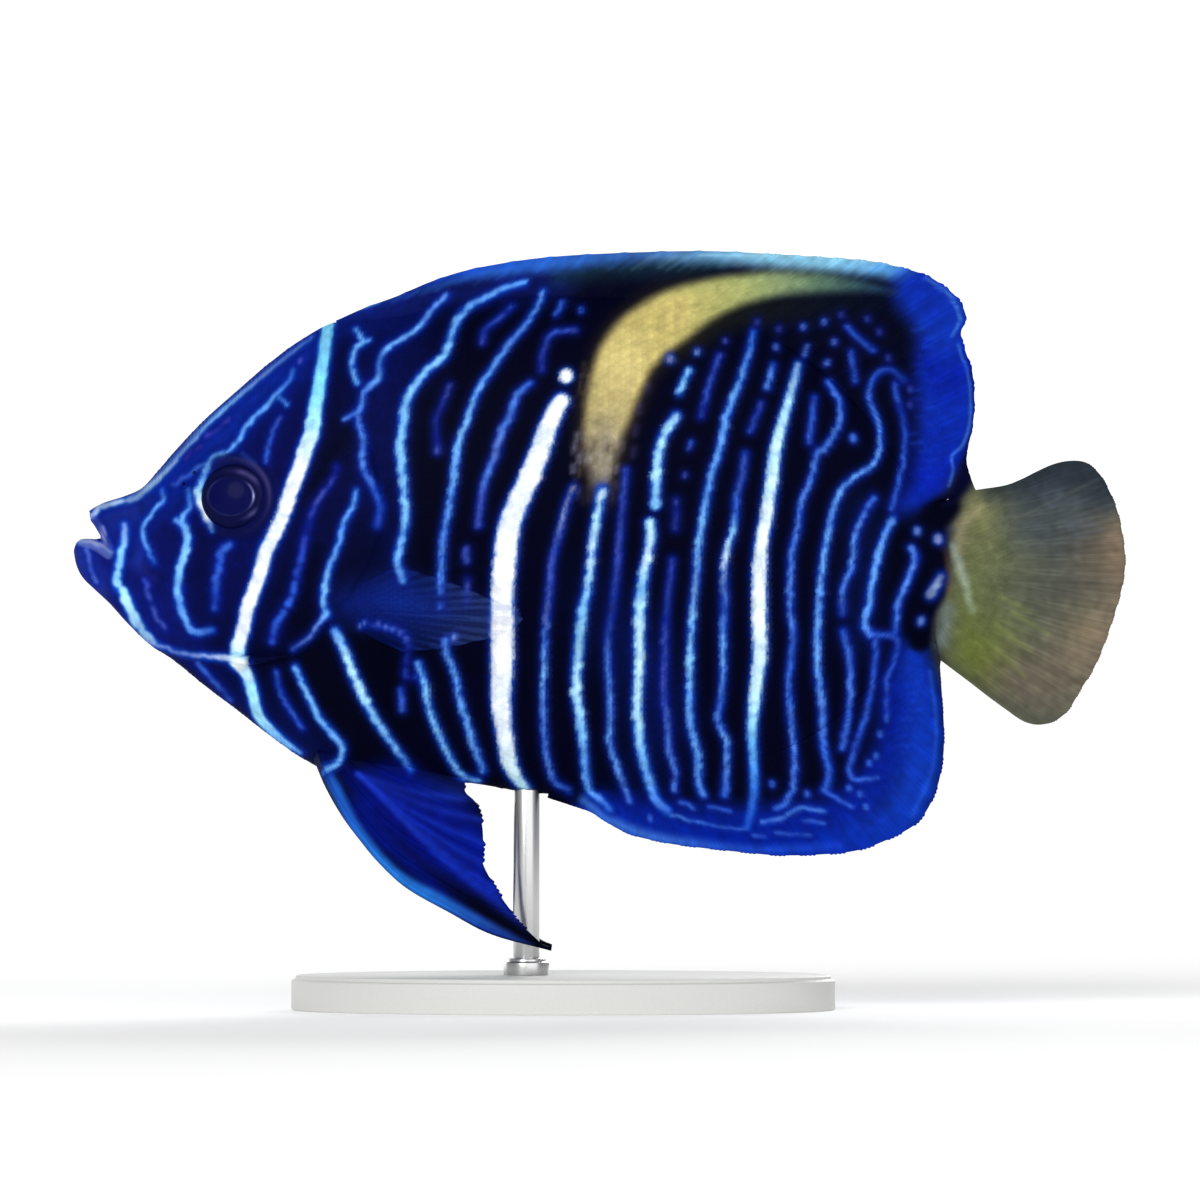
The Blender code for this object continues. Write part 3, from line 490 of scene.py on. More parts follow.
def spread_evenly(values, share):
    """A list of widths or tones, read at shares of the path's length."""
    values = np.array(values, float)
    at = np.linspace(0, 1, len(values))
    if values.ndim == 1:
        return np.interp(share, at, values)
    return np.stack([np.interp(share, at, values[:, k]) for k in range(3)], axis=-1)


def brush(path, width, tone, softness, strength=1.0, rough=0.0, broken=0.0):
    """One airbrush stroke on the sheet. Width and tone may be lists, spread evenly along the path."""
    chain = drawn_curve(path, CURVE_STEPS) if len(path) > 2 else np.linspace(path[0], path[-1], LINE_STEPS)
    lengths = lengths_along(chain)
    steps = max(int(lengths[-1] / BRUSH_STEP), 2)
    at = np.linspace(0.0, lengths[-1], steps)
    chain = np.stack([np.interp(at, lengths, chain[:, k]) for k in range(2)], axis=-1)
    share = at / lengths[-1]
    widths = spread_evenly(np.atleast_1d(width), share)
    tones = spread_evenly(np.atleast_2d(tone), share)
    force = np.ones(steps)
    if rough and steps > FEWEST_STEPS:
        stray = WIDE_STRAY if widths.max() > WIDE_STROKE else FINE_STRAY
        widths = widths * (1 + rough * smooth_noise(steps, 3))
        chain = chain + stray * np.stack([smooth_noise(steps, 3), smooth_noise(steps, 4)], axis=-1)
    if broken and steps > FEWEST_STEPS:
        force = np.clip(0.9 + broken * smooth_noise(steps, 5), FAINTEST_DASH, 1.0)
    margin = widths.max() / 2 + softness * 2 + 2
    low = np.maximum(np.floor(chain.min(axis=0) - margin).astype(int), 0)
    high = np.minimum(np.ceil(chain.max(axis=0) + margin).astype(int), PHOTO_SIZE - 1)
    cover = np.zeros((high[1] - low[1] + 1, high[0] - low[0] + 1))
    laid = np.zeros((*cover.shape, 3))
    for (x, y), wide, colour, firm in zip(chain, widths, tones, force):
        reach = wide / 2 + softness
        x0, x1 = max(int(x - reach), low[0]), min(int(x + reach) + 2, high[0] + 1)
        y0, y1 = max(int(y - reach), low[1]), min(int(y + reach) + 2, high[1] + 1)
        if x0 >= x1 or y0 >= y1:
            continue
        gap = np.hypot(np.arange(x0, x1)[None] - x, np.arange(y0, y1)[:, None] - y) - wide / 2
        spot = np.clip(0.5 - gap / (2 * softness), 0.0, 1.0)
        spot = spot * spot * (3 - 2 * spot) * firm
        part = (slice(y0 - low[1], y1 - low[1]), slice(x0 - low[0], x1 - low[0]))
        more = spot > cover[part]
        laid[part] = np.where(more[..., None], colour, laid[part])
        cover[part] = np.maximum(cover[part], spot)
    cover = (cover * strength)[..., None]
    part = (slice(low[1], high[1] + 1), slice(low[0], high[0] + 1))
    sheet[part] = sheet[part] * (1 - cover) + laid * cover


def lay_washes(table):
    for tone, width, softness, strength, path in table:
        brush(path, width, tone, softness, strength)


def dots(tone, width, *places):
    """Round spots of the pattern, each a very short stroke."""
    return [(tone, width, [(x, y - 1), (x, y + 1)]) for x, y in places]


# The ground, in the order in which it is laid: tone, width, softness, strength and path of each stroke
DEEPEST_BLUE = (2, 3, 24)
HEAD_GROUND = [
    ((7, 13, 72), 190, 60, 1.0, [(70, 550), (150, 560), (225, 530), (290, 440), (325, 350)]),
    ((12, 44, 160), 44, 34, 1.0, [(92, 524), (150, 494), (200, 442), (255, 380), (318, 332)]),
    ((24, 34, 104), 20, 16, 0.75, [(98, 526), (124, 514), (146, 504)]),
    ((15, 42, 146), 8, 14, 0.8, [(190, 453), (212, 436), (232, 420)]),
    ((13, 24, 104), 54, 32, 1.0, [(84, 552), (104, 584), (132, 612), (160, 636)]),
    ((40, 62, 158), 14, 14, 0.8, [(80, 548), (86, 568), (100, 590)]),
    ((28, 52, 164), 12, 12, 0.85, [(144, 548), (138, 562)]),
    ((38, 34, 100), 8, 10, 0.8, [(147, 573), (152, 578)]),
    ((11, 19, 92), 22, 18, 0.7, [(166, 526), (166, 570), (172, 604), (190, 640)]),
    ((6, 10, 58), 22, 18, 0.75, [(206, 545), (200, 575), (204, 606)]),
    ((4, 8, 48), 40, 34, 1.0, [(347, 345), (334, 440), (300, 540), (262, 640)]),
    ((3, 4, 26), 24, 20, 0.85, [(346, 430), (330, 462), (312, 486)]),
    ((2, 3, 24), 22, 18, 0.85, [(312, 560), (300, 590), (296, 620)]),
    ((5, 18, 92), 40, 36, 0.8, [(196, 668), (250, 710), (320, 760)]),
    ((2, 3, 20), 30, 24, 0.85, [(312, 662), (330, 700), (352, 740), (372, 762)]),
    # Painted shadow under the lower edge of the pectoral fin
    ((1, 2, 18), 44, 24, 0.95, [(374, 636), (384, 664), (400, 706)]),
]
TRUNK_GROUND = [
    ((4, 14, 76), 34, 36, 0.6, [(404, 330), (382, 420), (390, 540), (396, 590)]),
    ((2, 3, 22), 28, 22, 0.85, [(432, 404), (424, 470), (424, 540), (424, 580)]),
    ([(10, 30, 118), (16, 44, 146), (12, 34, 124), (5, 16, 76)], [34, 40, 30, 12], 26, 0.85, [(350, 604),
     (390, 600), (430, 608), (486, 616)]),
    ([(3, 12, 60), (6, 22, 96), (6, 22, 96), (3, 14, 70)], 60, 34, 0.55, [(600, 600), (640, 660),
     (656, 720), (650, 770)]),
    ((6, 24, 92), 34, 24, 0.4, [(862, 510), (860, 580), (860, 640)]),
]
# The back, under the band of the dorsal fin
BACK_GROUND = [
    ((9, 26, 110), 24, 22, 0.75, [(350, 322), (420, 300), (500, 288), (560, 282)]),
    ((18, 48, 62), 14, 14, 0.8, [(560, 276), (610, 270), (670, 268), (720, 262)]),
    ((2, 5, 26), 40, 30, 0.9, [(700, 332), (780, 308), (850, 302), (892, 316), (906, 350)]),
]
# The margins of the dorsal and the anal fin
MARGIN_GROUND = [
    ([(10, 30, 120), (14, 48, 160), (18, 64, 180), (30, 84, 192), (38, 92, 186), (50, 92, 160),
     (84, 140, 186), (114, 174, 204), (116, 178, 208), (84, 152, 214), (30, 84, 200)], [14, 20, 28, 34,
     32, 25, 27, 34, 37, 32, 20], 9, 1.0, [(322, 322), (370, 298), (420, 276), (470, 264), (540, 256),
     (610, 250), (690, 248), (780, 250), (850, 256), (905, 266), (950, 290)]),
    ([(10, 40, 156), (12, 46, 162), (5, 28, 146), (9, 38, 156), (8, 36, 158), (6, 30, 156), (8, 36, 150)],
     [56, 62, 62, 60, 54, 44, 24], 14, 1.0, [(922, 292), (944, 322), (946, 370), (946, 420), (938, 460),
     (926, 486), (908, 506)]),
    ([(3, 6, 50), (3, 5, 40), (3, 5, 36)], [10, 18, 16], 6, 0.95, [(974, 448), (968, 474), (956, 496),
     (930, 512)]),
    ([(4, 24, 130), (5, 30, 144), (5, 30, 144), (6, 32, 148), (4, 26, 136)], 40, 16, 0.9, [(606, 812),
     (680, 824), (760, 826), (846, 812), (892, 756), (902, 690)]),
    ([(5, 34, 146), (5, 34, 146), (2, 28, 142), (3, 32, 146), (8, 42, 156), (12, 50, 164), (10, 46, 162),
     (10, 44, 160)], [34, 40, 44, 46, 50, 44, 40, 34], 16, 1.0, [(592, 814), (640, 836), (710, 848),
     (790, 852), (856, 844), (902, 816), (922, 768), (924, 704), (912, 656)]),
    ([(70, 128, 216), (64, 118, 210), (30, 78, 196), (20, 60, 186)], [9, 9, 8, 7], 6, 0.8, [(585, 800),
     (610, 820), (650, 836), (700, 844), (760, 850), (840, 846)]),
]
TAIL_STALK_GROUND = [
    ((1, 2, 20), 60, 18, 1.0, [(920, 545), (930, 580), (918, 612)]),
]


def lay_ground():
    sheet[:] = DEEPEST_BLUE
    for table in (HEAD_GROUND, TRUNK_GROUND, BACK_GROUND, MARGIN_GROUND, TAIL_STALK_GROUND):
        lay_washes(table)


# The yellow bar: its dark border, its own tones and a lighter middle, which is a painted highlight
YELLOW_BAR = [
    ([(34, 26, 22), (34, 26, 22), (36, 28, 22), (34, 27, 22), (30, 26, 22), (24, 24, 22), (16, 20, 22),
     (10, 16, 24), (6, 12, 26), (4, 9, 28)], [34, 50, 62, 68, 74, 76, 58, 42, 34, 28, 20], 11, 0.85,
     [(602, 490), (602, 445), (608, 412), (616, 384), (628, 356), (652, 332), (693, 312), (734, 305),
     (782, 304), (832, 303), (872, 304)]),
    ([(112, 108, 104), (148, 138, 112), (184, 170, 116), (203, 188, 121), (192, 177, 108),
     (188, 176, 108), (168, 167, 102), (152, 160, 100), (124, 142, 102), (84, 112, 92), (46, 74, 80),
     (20, 44, 84)], [16, 34, 46, 54, 57, 53, 40, 30, 24, 20, 13, 4], 7, 1.0, [(600, 486), (601, 446),
     (608, 412), (616, 384), (628, 354), (652, 330), (690, 307), (730, 292), (775, 284), (820, 283),
     (860, 286), (895, 292)]),
    # Painted highlight along the middle of the bar's front part
    ((208, 192, 124), 14, 14, 0.5, [(606, 404), (612, 374), (626, 350)]),
]
SAND = (176, 158, 100)
SAND_FLECKS, SAND_WITHIN = 60, ((580, 622), (360, 470))
LOWER_FLECKS, LOWER_WITHIN = 110, ((572, 626), (432, 500))
PALE_FLECK, DARK_FLECK, PALE_SHARE = (150, 150, 164), (26, 18, 22), 0.4
FRONT_FLECKS = ((577, 436), (575, 446), (579, 458), (573, 468))
REAR_FLECKS = ((640, 408), (636, 430), (634, 452), (648, 388))


def fleck(x, y, tone, width, lean, length, strength):
    """A short upright touch of colour."""
    brush(((x, y), (x - lean, y + length)), width, tone, width, strength)


def lay_yellow():
    lay_washes(YELLOW_BAR)
    for _ in range(SAND_FLECKS):
        x, y = chance.uniform(*SAND_WITHIN[0]), chance.uniform(*SAND_WITHIN[1])
        fleck(x, y, SAND, 2, 2, 14, float(chance.uniform(0.1, 0.3)))
    for _ in range(LOWER_FLECKS):
        x, y = chance.uniform(*LOWER_WITHIN[0]), chance.uniform(*LOWER_WITHIN[1])
        tone = PALE_FLECK if chance.random() < PALE_SHARE else DARK_FLECK
        fleck(x, y, tone, 3, 1, 6, float(chance.uniform(0.08, 0.34)))
    for x, y in FRONT_FLECKS:
        brush(((x, y - 2), (x, y + 3)), 4, (150, 152, 172), 4, 0.6)
    for x, y in REAR_FLECKS:
        brush(((x, y - 3), (x - 1, y + 4)), 4, (70, 62, 128), 5, 0.5)


TAIL_GROUND = [
    ((84, 87, 74), 250, 14, 1.0, [(1080, 560), (1060, 620)]),
    ([(110, 112, 76), (98, 104, 66), (92, 102, 56), (92, 102, 48)], 70, 28, 1.0, [(992, 512), (992, 560),
     (986, 610), (986, 656)]),
    ([(46, 54, 62), (42, 50, 62)], 60, 34, 1.0, [(1034, 486), (1064, 474), (1098, 488)]),
    ((34, 42, 50), 14, 14, 0.75, [(990, 492), (1030, 478), (1062, 464), (1092, 468), (1108, 492)]),
    ([(64, 72, 78), (62, 66, 70)], 56, 34, 1.0, [(1040, 530), (1090, 548)]),
    ([(80, 84, 70), (76, 76, 70), (104, 90, 74)], 60, 36, 1.0, [(1024, 590), (1066, 588), (1112, 562)]),
    ([(94, 88, 76), (104, 94, 80), (132, 116, 94)], 60, 34, 1.0, [(1024, 680), (1060, 672), (1098, 640)]),
    ([(126, 106, 88), (118, 102, 88), (108, 96, 84)], 20, 16, 0.8, [(1118, 530), (1118, 600),
     (1094, 664)]),
]
# The rays painted on the tail fin fan out from its stalk.
PAINTED_RAYS = 72
FAN_START, FAN_SWEEP = -0.62, 1.36
FAN_HEART, FAN_HEART_REACH = (946, 580), (34, 66)
FAN_MIDDLE, FAN_REACH = (942, 586), 188
RAY_LIGHT, RAY_DARK = (130, 134, 108), (46, 50, 48)
BLUE_STREAKS, FIRST_STREAK, STREAK_SHIFT = 9, (1036, 488), (5, 6)
OLIVE_STREAKS = [
    ((1000, 596), (1030, 612)), ((996, 624), (1030, 650)), ((990, 640), (1024, 676)),
    ((1012, 612), (1048, 634)),
]
TAIL_ROOT_MARKS = [
    ([(140, 134, 100), (146, 138, 108), (138, 130, 98)], [8, 12, 8], 8, 0.75, [(980, 508), (962, 524),
     (958, 552)]),
    ([(136, 148, 140), (150, 164, 146), (128, 142, 118)], [7, 9, 6], 5, 0.9, [(952, 546), (963, 576),
     (972, 610)]),
    ((62, 66, 58), 10, 12, 0.5, [(954, 668), (1010, 708), (1050, 724)]),
    ((1, 2, 20), [24, 30, 44, 40, 34, 22], 5, 1.0, [(948, 506), (932, 524), (926, 560), (926, 590),
     (918, 612), (920, 640)]),
    ((104, 118, 122), 12, 9, 0.75, [(947, 610), (941, 642)]),
    ((84, 58, 44), 4, 4, 0.6, [(946, 552), (950, 590)]),
    ((58, 66, 110), 5, 5, 0.4, [(950, 528), (944, 548)]),
    ((3, 5, 36), [8, 15, 15, 10], 5, 1.0, [(974, 450), (967, 472), (958, 490), (948, 502)]),
]


def lay_tail():
    lay_washes(TAIL_GROUND)
    for k in range(PAINTED_RAYS):
        turn = FAN_START + FAN_SWEEP * k / (PAINTED_RAYS - 1)
        start = (
            FAN_HEART[0] + FAN_HEART_REACH[0] * math.cos(turn),
            FAN_HEART[1] + FAN_HEART_REACH[1] * math.sin(turn * 1.1),
        )
        end = (FAN_MIDDLE[0] + FAN_REACH * math.cos(turn), FAN_MIDDLE[1] + FAN_REACH * math.sin(turn))
        tone = RAY_LIGHT if k % 2 else RAY_DARK
        brush((start, end), [1.8, 3.0], tone, 2.4, float(chance.uniform(0.06, 0.22)))
    for k in range(BLUE_STREAKS):
        x, y = FIRST_STREAK[0] + STREAK_SHIFT[0] * k, FIRST_STREAK[1] + STREAK_SHIFT[1] * k
        brush(((x, y), (x + 26, y - 6)), [4, 2], (78, 92, 122), 4, float(chance.uniform(0.15, 0.35)))
    for path in OLIVE_STREAKS:
        brush(path, [5, 3], (120, 132, 76), 4, 0.5)
    lay_washes(TAIL_ROOT_MARKS)


PELVIC_GROUND = [
    ([(3, 16, 108), (3, 20, 124), (6, 24, 132)], 88, 16, 1.0, [(392, 806), (440, 844), (500, 906)]),
    ([(2, 12, 104), (3, 14, 104), (14, 34, 124)], 18, 12, 0.8, [(352, 776), (400, 784), (458, 794)]),
]
# The rays painted on the pelvic fins: where they part and where they end.
PELVIC_FORK, PELVIC_CENTRE = (358, 774), (366, 778)
PELVIC_RAY_ENDS = ((486, 800), (489, 822), (490, 846), (496, 872), (508, 898), (522, 918), (532, 934))
PELVIC_FRONT = [
    ([(4, 12, 96), (3, 8, 74), (1, 2, 22), (1, 2, 14)], [8, 12, 19, 16], 9, 1.0, [(376, 812), (420, 862),
     (480, 908), (534, 942)]),
    ([(30, 84, 180), (30, 92, 192), (34, 112, 204), (34, 108, 202), (30, 76, 166), (22, 44, 110)], [9, 13,
     17, 17, 11, 4], 4.5, 1.0, [(325, 769), (336, 788), (355, 829), (393, 876), (452, 908), (530, 946)]),
]


def lay_pelvic():
    lay_washes(PELVIC_GROUND)
    for end in PELVIC_RAY_ENDS:
        middle = (
            PELVIC_CENTRE[0] + 0.5 * (end[0] - PELVIC_CENTRE[0]) - 6,
            PELVIC_CENTRE[1] + 0.5 * (end[1] - PELVIC_CENTRE[1]) + 4,
        )
        brush((PELVIC_FORK, middle, end), [3, 5, 6], (22, 50, 176), 4, 0.5)
        # Painted shade: a darker line just below each ray
        shade_between_rays = (
            (PELVIC_FORK[0] + 4, PELVIC_FORK[1] + 12),
            (middle[0] - 4, middle[1] + 8),
            (end[0] - 6, end[1] + 8),
        )
        brush(shade_between_rays, [2, 4, 4], (2, 10, 110), 3, 0.5)
    lay_washes(PELVIC_FRONT)


# The pattern, in the order in which it is laid: tone, width and path of each line and spot
HEAD_MARKS = [
    # The pale line along the forehead's profile: partly the fish's own line, partly a painted highlight on
    # the forehead's edge
    ([(162, 180, 220), (180, 214, 242), (159, 184, 221), CYAN, LAVENDER, (90, 120, 190)], [6, 6, 5, 5,
     4.5, 3], [(91, 517), (97, 509), (110, 504), (130, 499), (145, 492), (160, 477), (185, 449),
     (215, 416), (245, 391), (280, 361), (312, 337)]),
    *dots((90, 80, 190), 4, (300, 361)),
    ([BLUE, SKY, SKY, SKY, CYAN], [4, 5, 5, 5, 5], [(293, 370), (290, 378), (278, 393), (262, 410),
     (248, 425), (238, 440), (230, 450), (212, 458), (205, 470)]),
    ([SKY, CYAN, PALE, WHITE, WHITE, CYAN], [4, 5.5, 7.5, 8.5, 7, 3], [(206, 470), (201, 484), (199, 495),
     (204, 510), (212, 530)]),
    ([SKY, BLUE, VIOLET], [4, 5, 4], [(208, 463), (195, 470), (178, 483), (172, 485)]),
    ((60, 60, 166), 4.5, [(207, 436), (218, 428), (229, 419)]),
    ((50, 42, 140), 4, [(186, 458), (194, 450), (200, 446)]),
    (BLUE, 3, [(242, 455), (255, 463)]),
    ([BLUE, BLUE, VIOLET], 4, [(266, 462), (268, 445), (276, 425), (280, 418)]),
    (SKY, 3, [(279, 397), (287, 405)]),
    ([BLUE, SKY, SKY, SKY, BLUE], 4.5, [(162, 490), (163, 501), (153, 511), (144, 524), (143, 535),
     (147, 548), (154, 563)]),
    ([BLUE, SKY, CYAN, CYAN, SKY, SKY, BLUE], [5, 6, 7.5, 7.5, 7, 6.5, 5], [(188, 490), (190, 505),
     (182, 520), (187, 535), (186, 548), (180, 565), (178, 580), (179, 600), (183, 615), (190, 628),
     (198, 633), (212, 630)]),
    (SKY, 5, [(176, 520), (184, 526)]),
    ([LAVENDER, CYAN, CYAN, PALE, (160, 206, 238), (140, 184, 228)], [6, 7.5, 8, 10, 10, 7], [(124, 525),
     (125, 535), (121, 553), (119, 567), (117, 583), (123, 592), (127, 600), (130, 609), (136, 621),
     (144, 633), (153, 643)]),
    ([LAVENDER, (118, 140, 210), WHITE], [4, 4, 7], [(145, 640), (165, 648), (185, 654), (205, 656),
     (225, 658), (238, 662)]),
    ((70, 96, 190), 5, [(88, 550), (90, 565), (96, 582)]),
    ([(54, 74, 190), VIOLET, VIOLET], 5, [(146, 580), (150, 600), (157, 618), (165, 628)]),
    ([BLUE, (44, 90, 206), BLUE, (40, 80, 196)], [8, 7, 6.5, 6], [(229, 545), (222, 550), (219, 565),
     (215, 590), (215, 608)]),
    ([(126, 130, 190), (140, 140, 196), (89, 97, 160)], [5, 6, 3], [(101, 528), (104, 536), (107, 546)]),
    ([(158, 168, 200), (156, 162, 196), (100, 112, 176)], [6, 6, 4], [(79, 541), (94, 542), (112, 552)]),
]
# The first bar, over the head and on to the breast
FIRST_BAR_MARKS = [
    ([AQUA, AQUA, AQUA, (190, 242, 255), WHITE, WHITE, WHITE, WHITE, WHITE, WHITE, PALE], [12, 12, 13, 15,
     15, 14, 14, 14.5, 14, 13.5, 14], [(328, 325), (325, 345), (323, 360), (319, 385), (315, 410),
     (311, 435), (305, 450), (299, 470), (291, 490), (283, 515), (274, 535), (266, 550), (261, 570),
     (254, 590), (247, 610), (243, 630), (238, 645), (237, 662)]),
    ([WHITE, (160, 228, 255), (172, 236, 255), CYAN, SKY], [12, 11.5, 10.5, 9, 4], [(238, 663),
     (246, 673), (252, 691), (259, 716), (278, 737), (300, 753)]),
    ([BLUE, (40, 80, 180)], 5, [(198, 664), (212, 680), (230, 700)]),
    (BLUE, 4, [(276, 672), (280, 690), (290, 710), (302, 728)]),
    ([SKY, CYAN, CYAN, SKY, CYAN, SKY], 5.5, [(295, 667), (305, 690), (318, 716), (335, 737), (342, 748),
     (338, 762), (326, 769)]),
    ([SKY, PALE, PALE, CYAN, CYAN, BLUE], [7, 9, 9, 6.5, 6, 4], [(335, 631), (345, 653), (357, 684),
     (375, 719), (395, 748), (411, 770)]),
    ([SKY, CYAN, CYAN, CYAN, CYAN, SKY], 5.5, [(418, 664), (423, 680), (428, 706), (437, 731), (450, 759),
     (461, 775), (478, 781)]),
    ([AZURE, SKY, SKY, SKY, SKY, AZURE], 5.5, [(445, 640), (447, 655), (455, 676), (460, 702), (469, 731),
     (483, 771)]),
    ((36, 62, 168), 4, [(370, 624), (385, 627), (400, 632), (408, 645), (405, 675), (415, 677)]),
    *dots((118, 130, 200), 3, (360, 626), (365, 623), (378, 624), (386, 627), (393, 629), (400, 633),
     (406, 639)),
    ((54, 94, 196), 5.5, [(401, 690), (402, 710)]),
]
GILL_COVER_MARKS = [
    ([SKY, SKY, SKY, SKY, CYAN, SKY], [4, 5, 5, 5, 6, 5], [(356, 490), (353, 505), (343, 525), (338, 545),
     (330, 565), (324, 590), (324, 605), (327, 615)]),
    ([SKY, LAVENDER, (78, 92, 178)], [4.5, 3.5, 3], [(325, 614), (317, 626), (308, 638), (293, 649)]),
    ([(56, 56, 164), VIOLET, (42, 62, 176), (38, 78, 192), (44, 92, 204), (34, 70, 184)], [4, 5, 6, 6.5,
     7.5, 6.5], [(336, 467), (332, 480), (318, 500), (308, 525), (302, 550), (297, 575), (290, 600),
     (278, 620), (272, 640)]),
]
# The front of the trunk
FRONT_MARKS = [
    ([AZURE, SKY, SKY, SKY, AZURE, AZURE, AZURE, BLUE, (36, 62, 170)], 5.5, [(446, 296), (430, 312),
     (418, 328), (400, 340), (385, 350), (380, 362), (378, 378), (365, 390), (361, 405), (358, 420),
     (363, 440), (362, 465), (372, 485), (380, 505), (377, 525)]),
    (AZURE, 4, [(345, 419), (356, 412)]),
    ((124, 190, 250), 4.5, [(356, 330), (362, 342), (354, 350), (352, 365), (357, 383)]),
    (SKY, 4, [(362, 343), (369, 340)]),
    ([SKY, SKY, CYAN, CYAN, CYAN, CYAN, SKY], [5, 6, 7, 8, 8, 7, 6], [(524, 283), (505, 288), (485, 298),
     (465, 310), (455, 325), (448, 345), (443, 357), (426, 371), (414, 387), (406, 401), (402, 430),
     (400, 450), (403, 480), (405, 520), (400, 545), (397, 560), (403, 580)]),
    ([SKY, AZURE, SKY, CYAN, SKY, AZURE, AZURE], [4, 5.5, 6, 6.5, 6, 5.5], [(543, 291), (538, 304),
     (525, 325), (507, 346), (494, 366), (480, 386), (472, 405), (465, 425), (459, 440), (456, 455),
     (453, 480), (450, 500), (446, 520), (442, 545), (441, 570), (440, 592)]),
    *dots(BLUE, 5, (440, 606)),
    *dots(LAVENDER, 5, (454, 637)),
    *dots((70, 84, 166), 5, (437, 451)),
    (VIOLET, 4, [(449, 386), (441, 406), (436, 420), (437, 450)]),
    ([BLUE, VIOLET], 4, [(512, 306), (497, 320), (485, 330), (482, 342)]),
    ([BLUE, AZURE, AZURE, (104, 132, 220), AZURE, VIOLET, VIOLET], [5, 6.5, 7, 7, 6, 5, 5], [(530, 383),
     (517, 395), (510, 415), (500, 435), (495, 455), (485, 480), (480, 505), (478, 525)]),
    ((50, 70, 166), 7, [(466, 550), (466, 561)]),
    (VIOLET, 5, [(467, 580), (467, 602)]),
    (BLUE, 4, [(562, 303), (556, 315)]),
    ([VIOLET, BLUE, VIOLET, VIOLET], 4, [(575, 330), (555, 332), (547, 340), (542, 355), (541, 370)]),
    *dots(BLUE, 4, (581, 310)),
]
# From the second bar to the third
SECOND_BAR_MARKS = [
    *dots(WHITE, 13, (566, 376)),
    ([WHITE] * 11 + [(236, 255, 255), (186, 236, 250)], [15, 18.5, 20, 20.5, 22, 22.5, 21.5, 22, 22, 19.5,
     16, 15, 9], [(561, 401), (555, 411), (547, 430), (540, 450), (528, 480), (519, 500), (511, 520),
     (507, 540), (504, 570), (502, 600), (502, 660), (501, 700), (503, 725), (506, 745), (509, 762),
     (516, 777), (526, 790)]),
    ([(110, 110, 130), (156, 170, 214), VIOLET, VIOLET, (74, 84, 150), AZURE, CYAN, AZURE, AZURE, AZURE,
     BLUE], 5, [(573, 488), (566, 505), (560, 530), (552, 560), (549, 590), (545, 630), (544, 660),
     (543, 690), (543, 720), (545, 745), (548, 765), (555, 782), (568, 790)]),
    ([(176, 206, 228), PALE, (196, 228, 252), (172, 226, 250), CYAN, (136, 190, 214), PALE, PALE, CYAN,
     SKY, SKY, BLUE], [8, 8, 7.5, 7.5, 8, 8.5, 9, 8, 7, 6.5, 6, 5], [(602, 490), (598, 510), (593, 540),
     (590, 565), (587, 590), (582, 612), (579, 640), (576, 689), (582, 734), (588, 787), (599, 798),
     (610, 809)]),
    ([VIOLET, (60, 72, 150), VIOLET, (30, 44, 110), AZURE, SKY, SKY, AZURE], [3.5, 4, 5, 4, 5, 5, 5, 5],
     [(626, 470), (621, 520), (618, 557), (613, 604), (608, 633), (608, 666), (610, 711), (609, 734),
     (612, 753), (619, 773), (629, 801)]),
    ([(150, 200, 240), (170, 228, 255), (176, 232, 255), CYAN], [8, 8, 8, 8], [(676, 416), (662, 439),
     (657, 467), (655, 505)]),
    ([PALE, (216, 242, 255), CYAN, (200, 244, 255), (208, 250, 255), (204, 248, 255), PALE, CYAN, SKY,
     BLUE], [9, 8, 9.5, 9.5, 9, 8.5, 8.5, 8, 7], [(650, 523), (650, 541), (641, 590), (639, 630),
     (639, 666), (637, 708), (641, 750), (650, 784), (657, 801), (667, 811)]),
    ([SKY, BLUE, BLUE], 3, [(672, 815), (700, 822), (728, 828), (747, 829)]),
    (CYAN, [5, 6, 5], [(679, 393), (684, 380), (689, 370)]),
    *dots((124, 146, 206), 5, (697, 352)),
    *dots((108, 120, 168), 7, (670, 359)),
    *dots(VIOLET, 4, (725, 341), (685, 475)),
    ([VIOLET, BLUE], 4, [(719, 355), (708, 388), (701, 416)]),
    ([BLUE, VIOLET], 4, [(691, 442), (689, 448)]),
    (VIOLET, 5, [(676, 500), (675, 528)]),
    ([VIOLET, (40, 56, 140), VIOLET, VIOLET, AZURE, AZURE], [4, 4, 5, 5, 5, 5], [(672, 560), (668, 596),
     (665, 633), (664, 694), (667, 722), (669, 750), (675, 773), (674, 790)]),
    (BLUE, 4, [(681, 802), (693, 807)]),
    ([BLUE, SKY, SKY, SKY, SKY, CYAN, (104, 144, 206), CYAN, CYAN, SKY, SKY, AZURE], [4, 5.5, 6, 6, 6, 6,
     5.5, 6, 6, 6, 6.5, 6], [(753, 332), (748, 355), (739, 383), (727, 414), (721, 442), (716, 461),
     (711, 475), (703, 516), (698, 549), (696, 576), (692, 613), (690, 658), (690, 720), (697, 753),
     (699, 784), (703, 795)]),
    (AZURE, 5, [(773, 365), (767, 388)]),
    ([VIOLET, BLUE], 4, [(761, 403), (750, 431)]),
    ([VIOLET, (60, 80, 160), BLUE, CYAN, (206, 232, 255), (76, 108, 176), (66, 100, 180), SKY, SKY, AZURE,
     AZURE, SKY, AZURE, BLUE], [5, 5, 6, 6, 6, 5, 5, 5, 6], [(745, 454), (742, 475), (736, 498),
     (735, 518), (730, 539), (724, 562), (724, 596), (723, 633), (723, 666), (721, 697), (718, 720),
     (726, 742), (726, 773), (724, 795)]),
    (BLUE, 3, [(709, 807), (730, 811)]),
]
